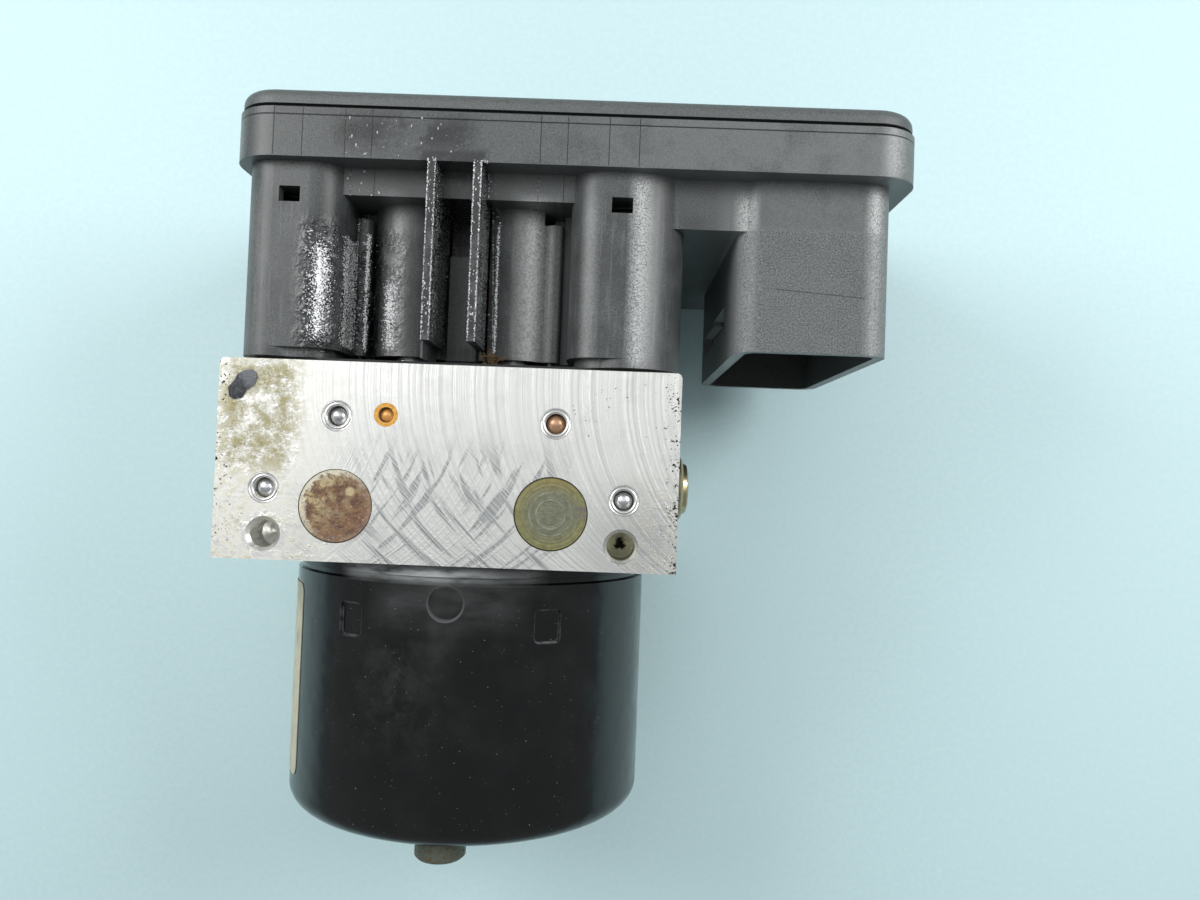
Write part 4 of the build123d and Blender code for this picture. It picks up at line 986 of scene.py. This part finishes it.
class FINISH_OT_tuft(bpy.types.Operator):
    """Brown tuft of fibres lodged beside the rib"""

    bl_idname = "finish.tuft"
    bl_label = "Fibre tuft"

    def execute(self, context):
        rng = random.Random(11)
        built = bmesh.new()
        for _ in range(context.scene.unit_sizes.fibres):
            # From the pocket beside the right rib, in six short steps
            start = Vector((rng.gauss(7.6, 0.7), BLOCK_TOP + rng.uniform(0.6, 3.4), rng.uniform(89.5, 92.0)))
            way = Vector((rng.gauss(0.1, 0.7), rng.gauss(0.6, 0.5), rng.gauss(0.5, 0.5)))
            points = [start]
            for _ in range(6):
                way += Vector((rng.gauss(0, 0.45), rng.gauss(-0.05, 0.4), rng.gauss(-0.08, 0.4)))
                points.append(points[-1] + way.normalized() * rng.uniform(0.25, 0.55))
            thread(built, points, rng.uniform(0.05, 0.1))
        # Dry plant fibres: matt, from dark brown to straw
        material = inner_finish("dry brown fibre", "#4a3a26", "#8a7350", 0.0, 0.8, 0.3, 0.02)
        piece("fibre_tuft", built, material)
        return {"FINISHED"}


class FINISH_OT_flake(bpy.types.Operator):
    """Black paint flake stuck on the block's face"""

    bl_idname = "finish.flake"
    bl_label = "Paint flake"

    def execute(self, context):
        # Chipped paint: satin black, grey on the ridge where it is bent
        look = Finish("black paint flake", Roughness=0.35, IOR=1.5)
        grain = look.grain(0.8, 0.4, 0.65, Roughness=0.7)
        slope = look.add("VectorMath", look.place, (1.0, 0.6, 0.0), operation="DOT_PRODUCT", output="Value")
        ridge = look.add("MapRange", slope, -35.4, -33.6, 0.0, 0.45)
        tone = look.coats("#1a1c20", (grain, "#4b4f55"), (ridge, "#8d9196"))
        look.wear(Base_Color=tone, Normal=look.add("Bump", Height=grain, Distance=0.12 * MM))
        # Its foot is sunk in the face, and its crown stands 0.55 mm over it
        middle = Vector((-44.6, 15.9, FACE_Z + 0.55))
        shoulder = [Vector((x, y, FACE_Z + 0.5)).lerp(middle, 0.45) for x, y in FLAKE_OUTLINE]
        built = bmesh.new()
        low = corners_at(built, [(x, y, FACE_Z - 0.05) for x, y in FLAKE_OUTLINE])
        high = corners_at(built, [(x, y, FACE_Z + 0.28) for x, y in FLAKE_OUTLINE])
        inner = corners_at(built, shoulder)
        [crown] = corners_at(built, [middle])
        skin(built, [low, high, inner])
        for here, after in zip(inner, inner[1:] + inner[:1]):
            built.faces.new((here, after, crown))
        built.faces.new(low[::-1])
        piece("paint_flake", built, look.material)
        return {"FINISHED"}


class FINISH_OT_motor(bpy.types.Operator):
    """Pump motor's can, label and peg"""

    bl_idname = "finish.motor"
    bl_label = "Pump motor"

    def execute(self, context):
        sizes = context.scene.motor_sizes
        dress(["motor_can"], gloss_enamel(sizes))
        dress(["motor_label"], bare_label(sizes))
        dress(["mounting_peg"], peg_steel(sizes))
        return {"FINISHED"}


# Nodes, material, two colours, metal share, roughness, size and depth of the grain. All of them
# are clean: the metals are satin and faintly mottled, the magnets and brushes matt and dark
INNER_PIECES = (
    (both("accumulator_piston"), "anodised aluminium", "#a9adb0", "#8f9396", 0.9, 0.4, 0.8, 0.005),
    (["armature_core"], "laminated steel", "#55585b", "#77797b", 0.9, 0.45, 0.5, 0.03),
    (both("field_magnet"), "ferrite", "#2c2c2f", "#3b3b3e", 0.0, 0.6, 1.0, 0.02),
    (both("brush"), "carbon", "#17171a", "#26262a", 0.2, 0.5, 0.4, 0.01),
    (["motor_plate"], "die cast aluminium", "#9c9fa1", "#b4b6b8", 0.85, 0.5, 1.2, 0.02),
    (["motor_screws", "unit_screws"], "zinc plated steel", "#a8abab", "#7e8283", 0.95, 0.35, 0.9, 0.01),
    (["relays"], "relay housing", "#1a1b1d", "#27282b", 0.0, 0.35, 0.6, 0.01),
)


class FINISH_OT_inside(bpy.types.Operator):
    """Pieces inside the unit"""

    bl_idname = "finish.inside"
    bl_label = "Inner pieces"

    def execute(self, context):
        steel = bright_steel("ground steel", "#b4b6b8", 0.25)
        for kind in ("inlet_valve", "inlet_plunger", "outlet_valve", "outlet_plunger"):
            dress([f"{kind}_{n}" for n in range(1, 5)], steel)
        dress(["motor_shaft", "needle_ring", "front_bearing", "rear_bearing"], steel)
        dress(both("pump_sleeve") + both("pump_piston"), steel)
        spring = bright_steel("spring wire", "#7f8286", 0.32)
        dress(both("accumulator_spring") + both("pump_spring"), spring)
        for names, *values in INNER_PIECES:
            dress(names, inner_finish(*values))
        dress(["solenoid_coils", "armature_windings"], wound_copper())
        dress(["commutator"], bright_steel("turned copper", "#c07a4c", 0.28, "#6d3f22"))
        dress(["motor_contacts"], bright_steel("tinned brass", "#cdbf95", 0.25, "#8d7a4a"))
        dress(["circuit_board"], solder_resist())
        return {"FINISHED"}


class FINISH_PT_panel(bpy.types.Panel):
    """Sidebar panel with the unit's finishes"""

    bl_idname = "FINISH_PT_panel"
    bl_label = "Brake unit"
    bl_space_type = "VIEW_3D"
    bl_region_type = "UI"
    bl_category = "Brake Unit"

    def draw(self, context):
        column = self.layout.column()
        for operator in OPERATORS:
            column.operator(operator.bl_idname)
        for name in SETTINGS:
            group = getattr(context.scene, name)
            for key in group.__annotations__:
                column.prop(group, key)


SETTINGS = {
    "block_sizes": BlockSizes,
    "unit_sizes": UnitSizes,
    "motor_sizes": MotorSizes,
    "stage_sizes": StageSizes,
}
OPERATORS = (
    FINISH_OT_stage,
    FINISH_OT_block,
    FINISH_OT_stakes,
    FINISH_OT_control_unit,
    FINISH_OT_mould_lines,
    FINISH_OT_drops,
    FINISH_OT_tuft,
    FINISH_OT_flake,
    FINISH_OT_motor,
    FINISH_OT_inside,
)


def register():
    for group in SETTINGS.values():
        bpy.utils.register_class(group)
    for operator in (*OPERATORS, FINISH_PT_panel):
        bpy.utils.register_class(operator)
    for name, group in SETTINGS.items():
        setattr(bpy.types.Scene, name, bpy.props.PointerProperty(type=group))


def unregister():
    for name in SETTINGS:
        delattr(bpy.types.Scene, name)
    for operator in (FINISH_PT_panel, *reversed(OPERATORS)):
        bpy.utils.unregister_class(operator)
    for group in SETTINGS.values():
        bpy.utils.unregister_class(group)


def main():
    for other in list(bpy.data.objects):
        if other.type in {"CAMERA", "LIGHT"} or other.name == "Cube":
            bpy.data.objects.remove(other)
    register()
    for operator in OPERATORS:
        area, name = operator.bl_idname.split(".")
        getattr(getattr(bpy.ops, area), name)()


if __name__ == "__main__":
    main()
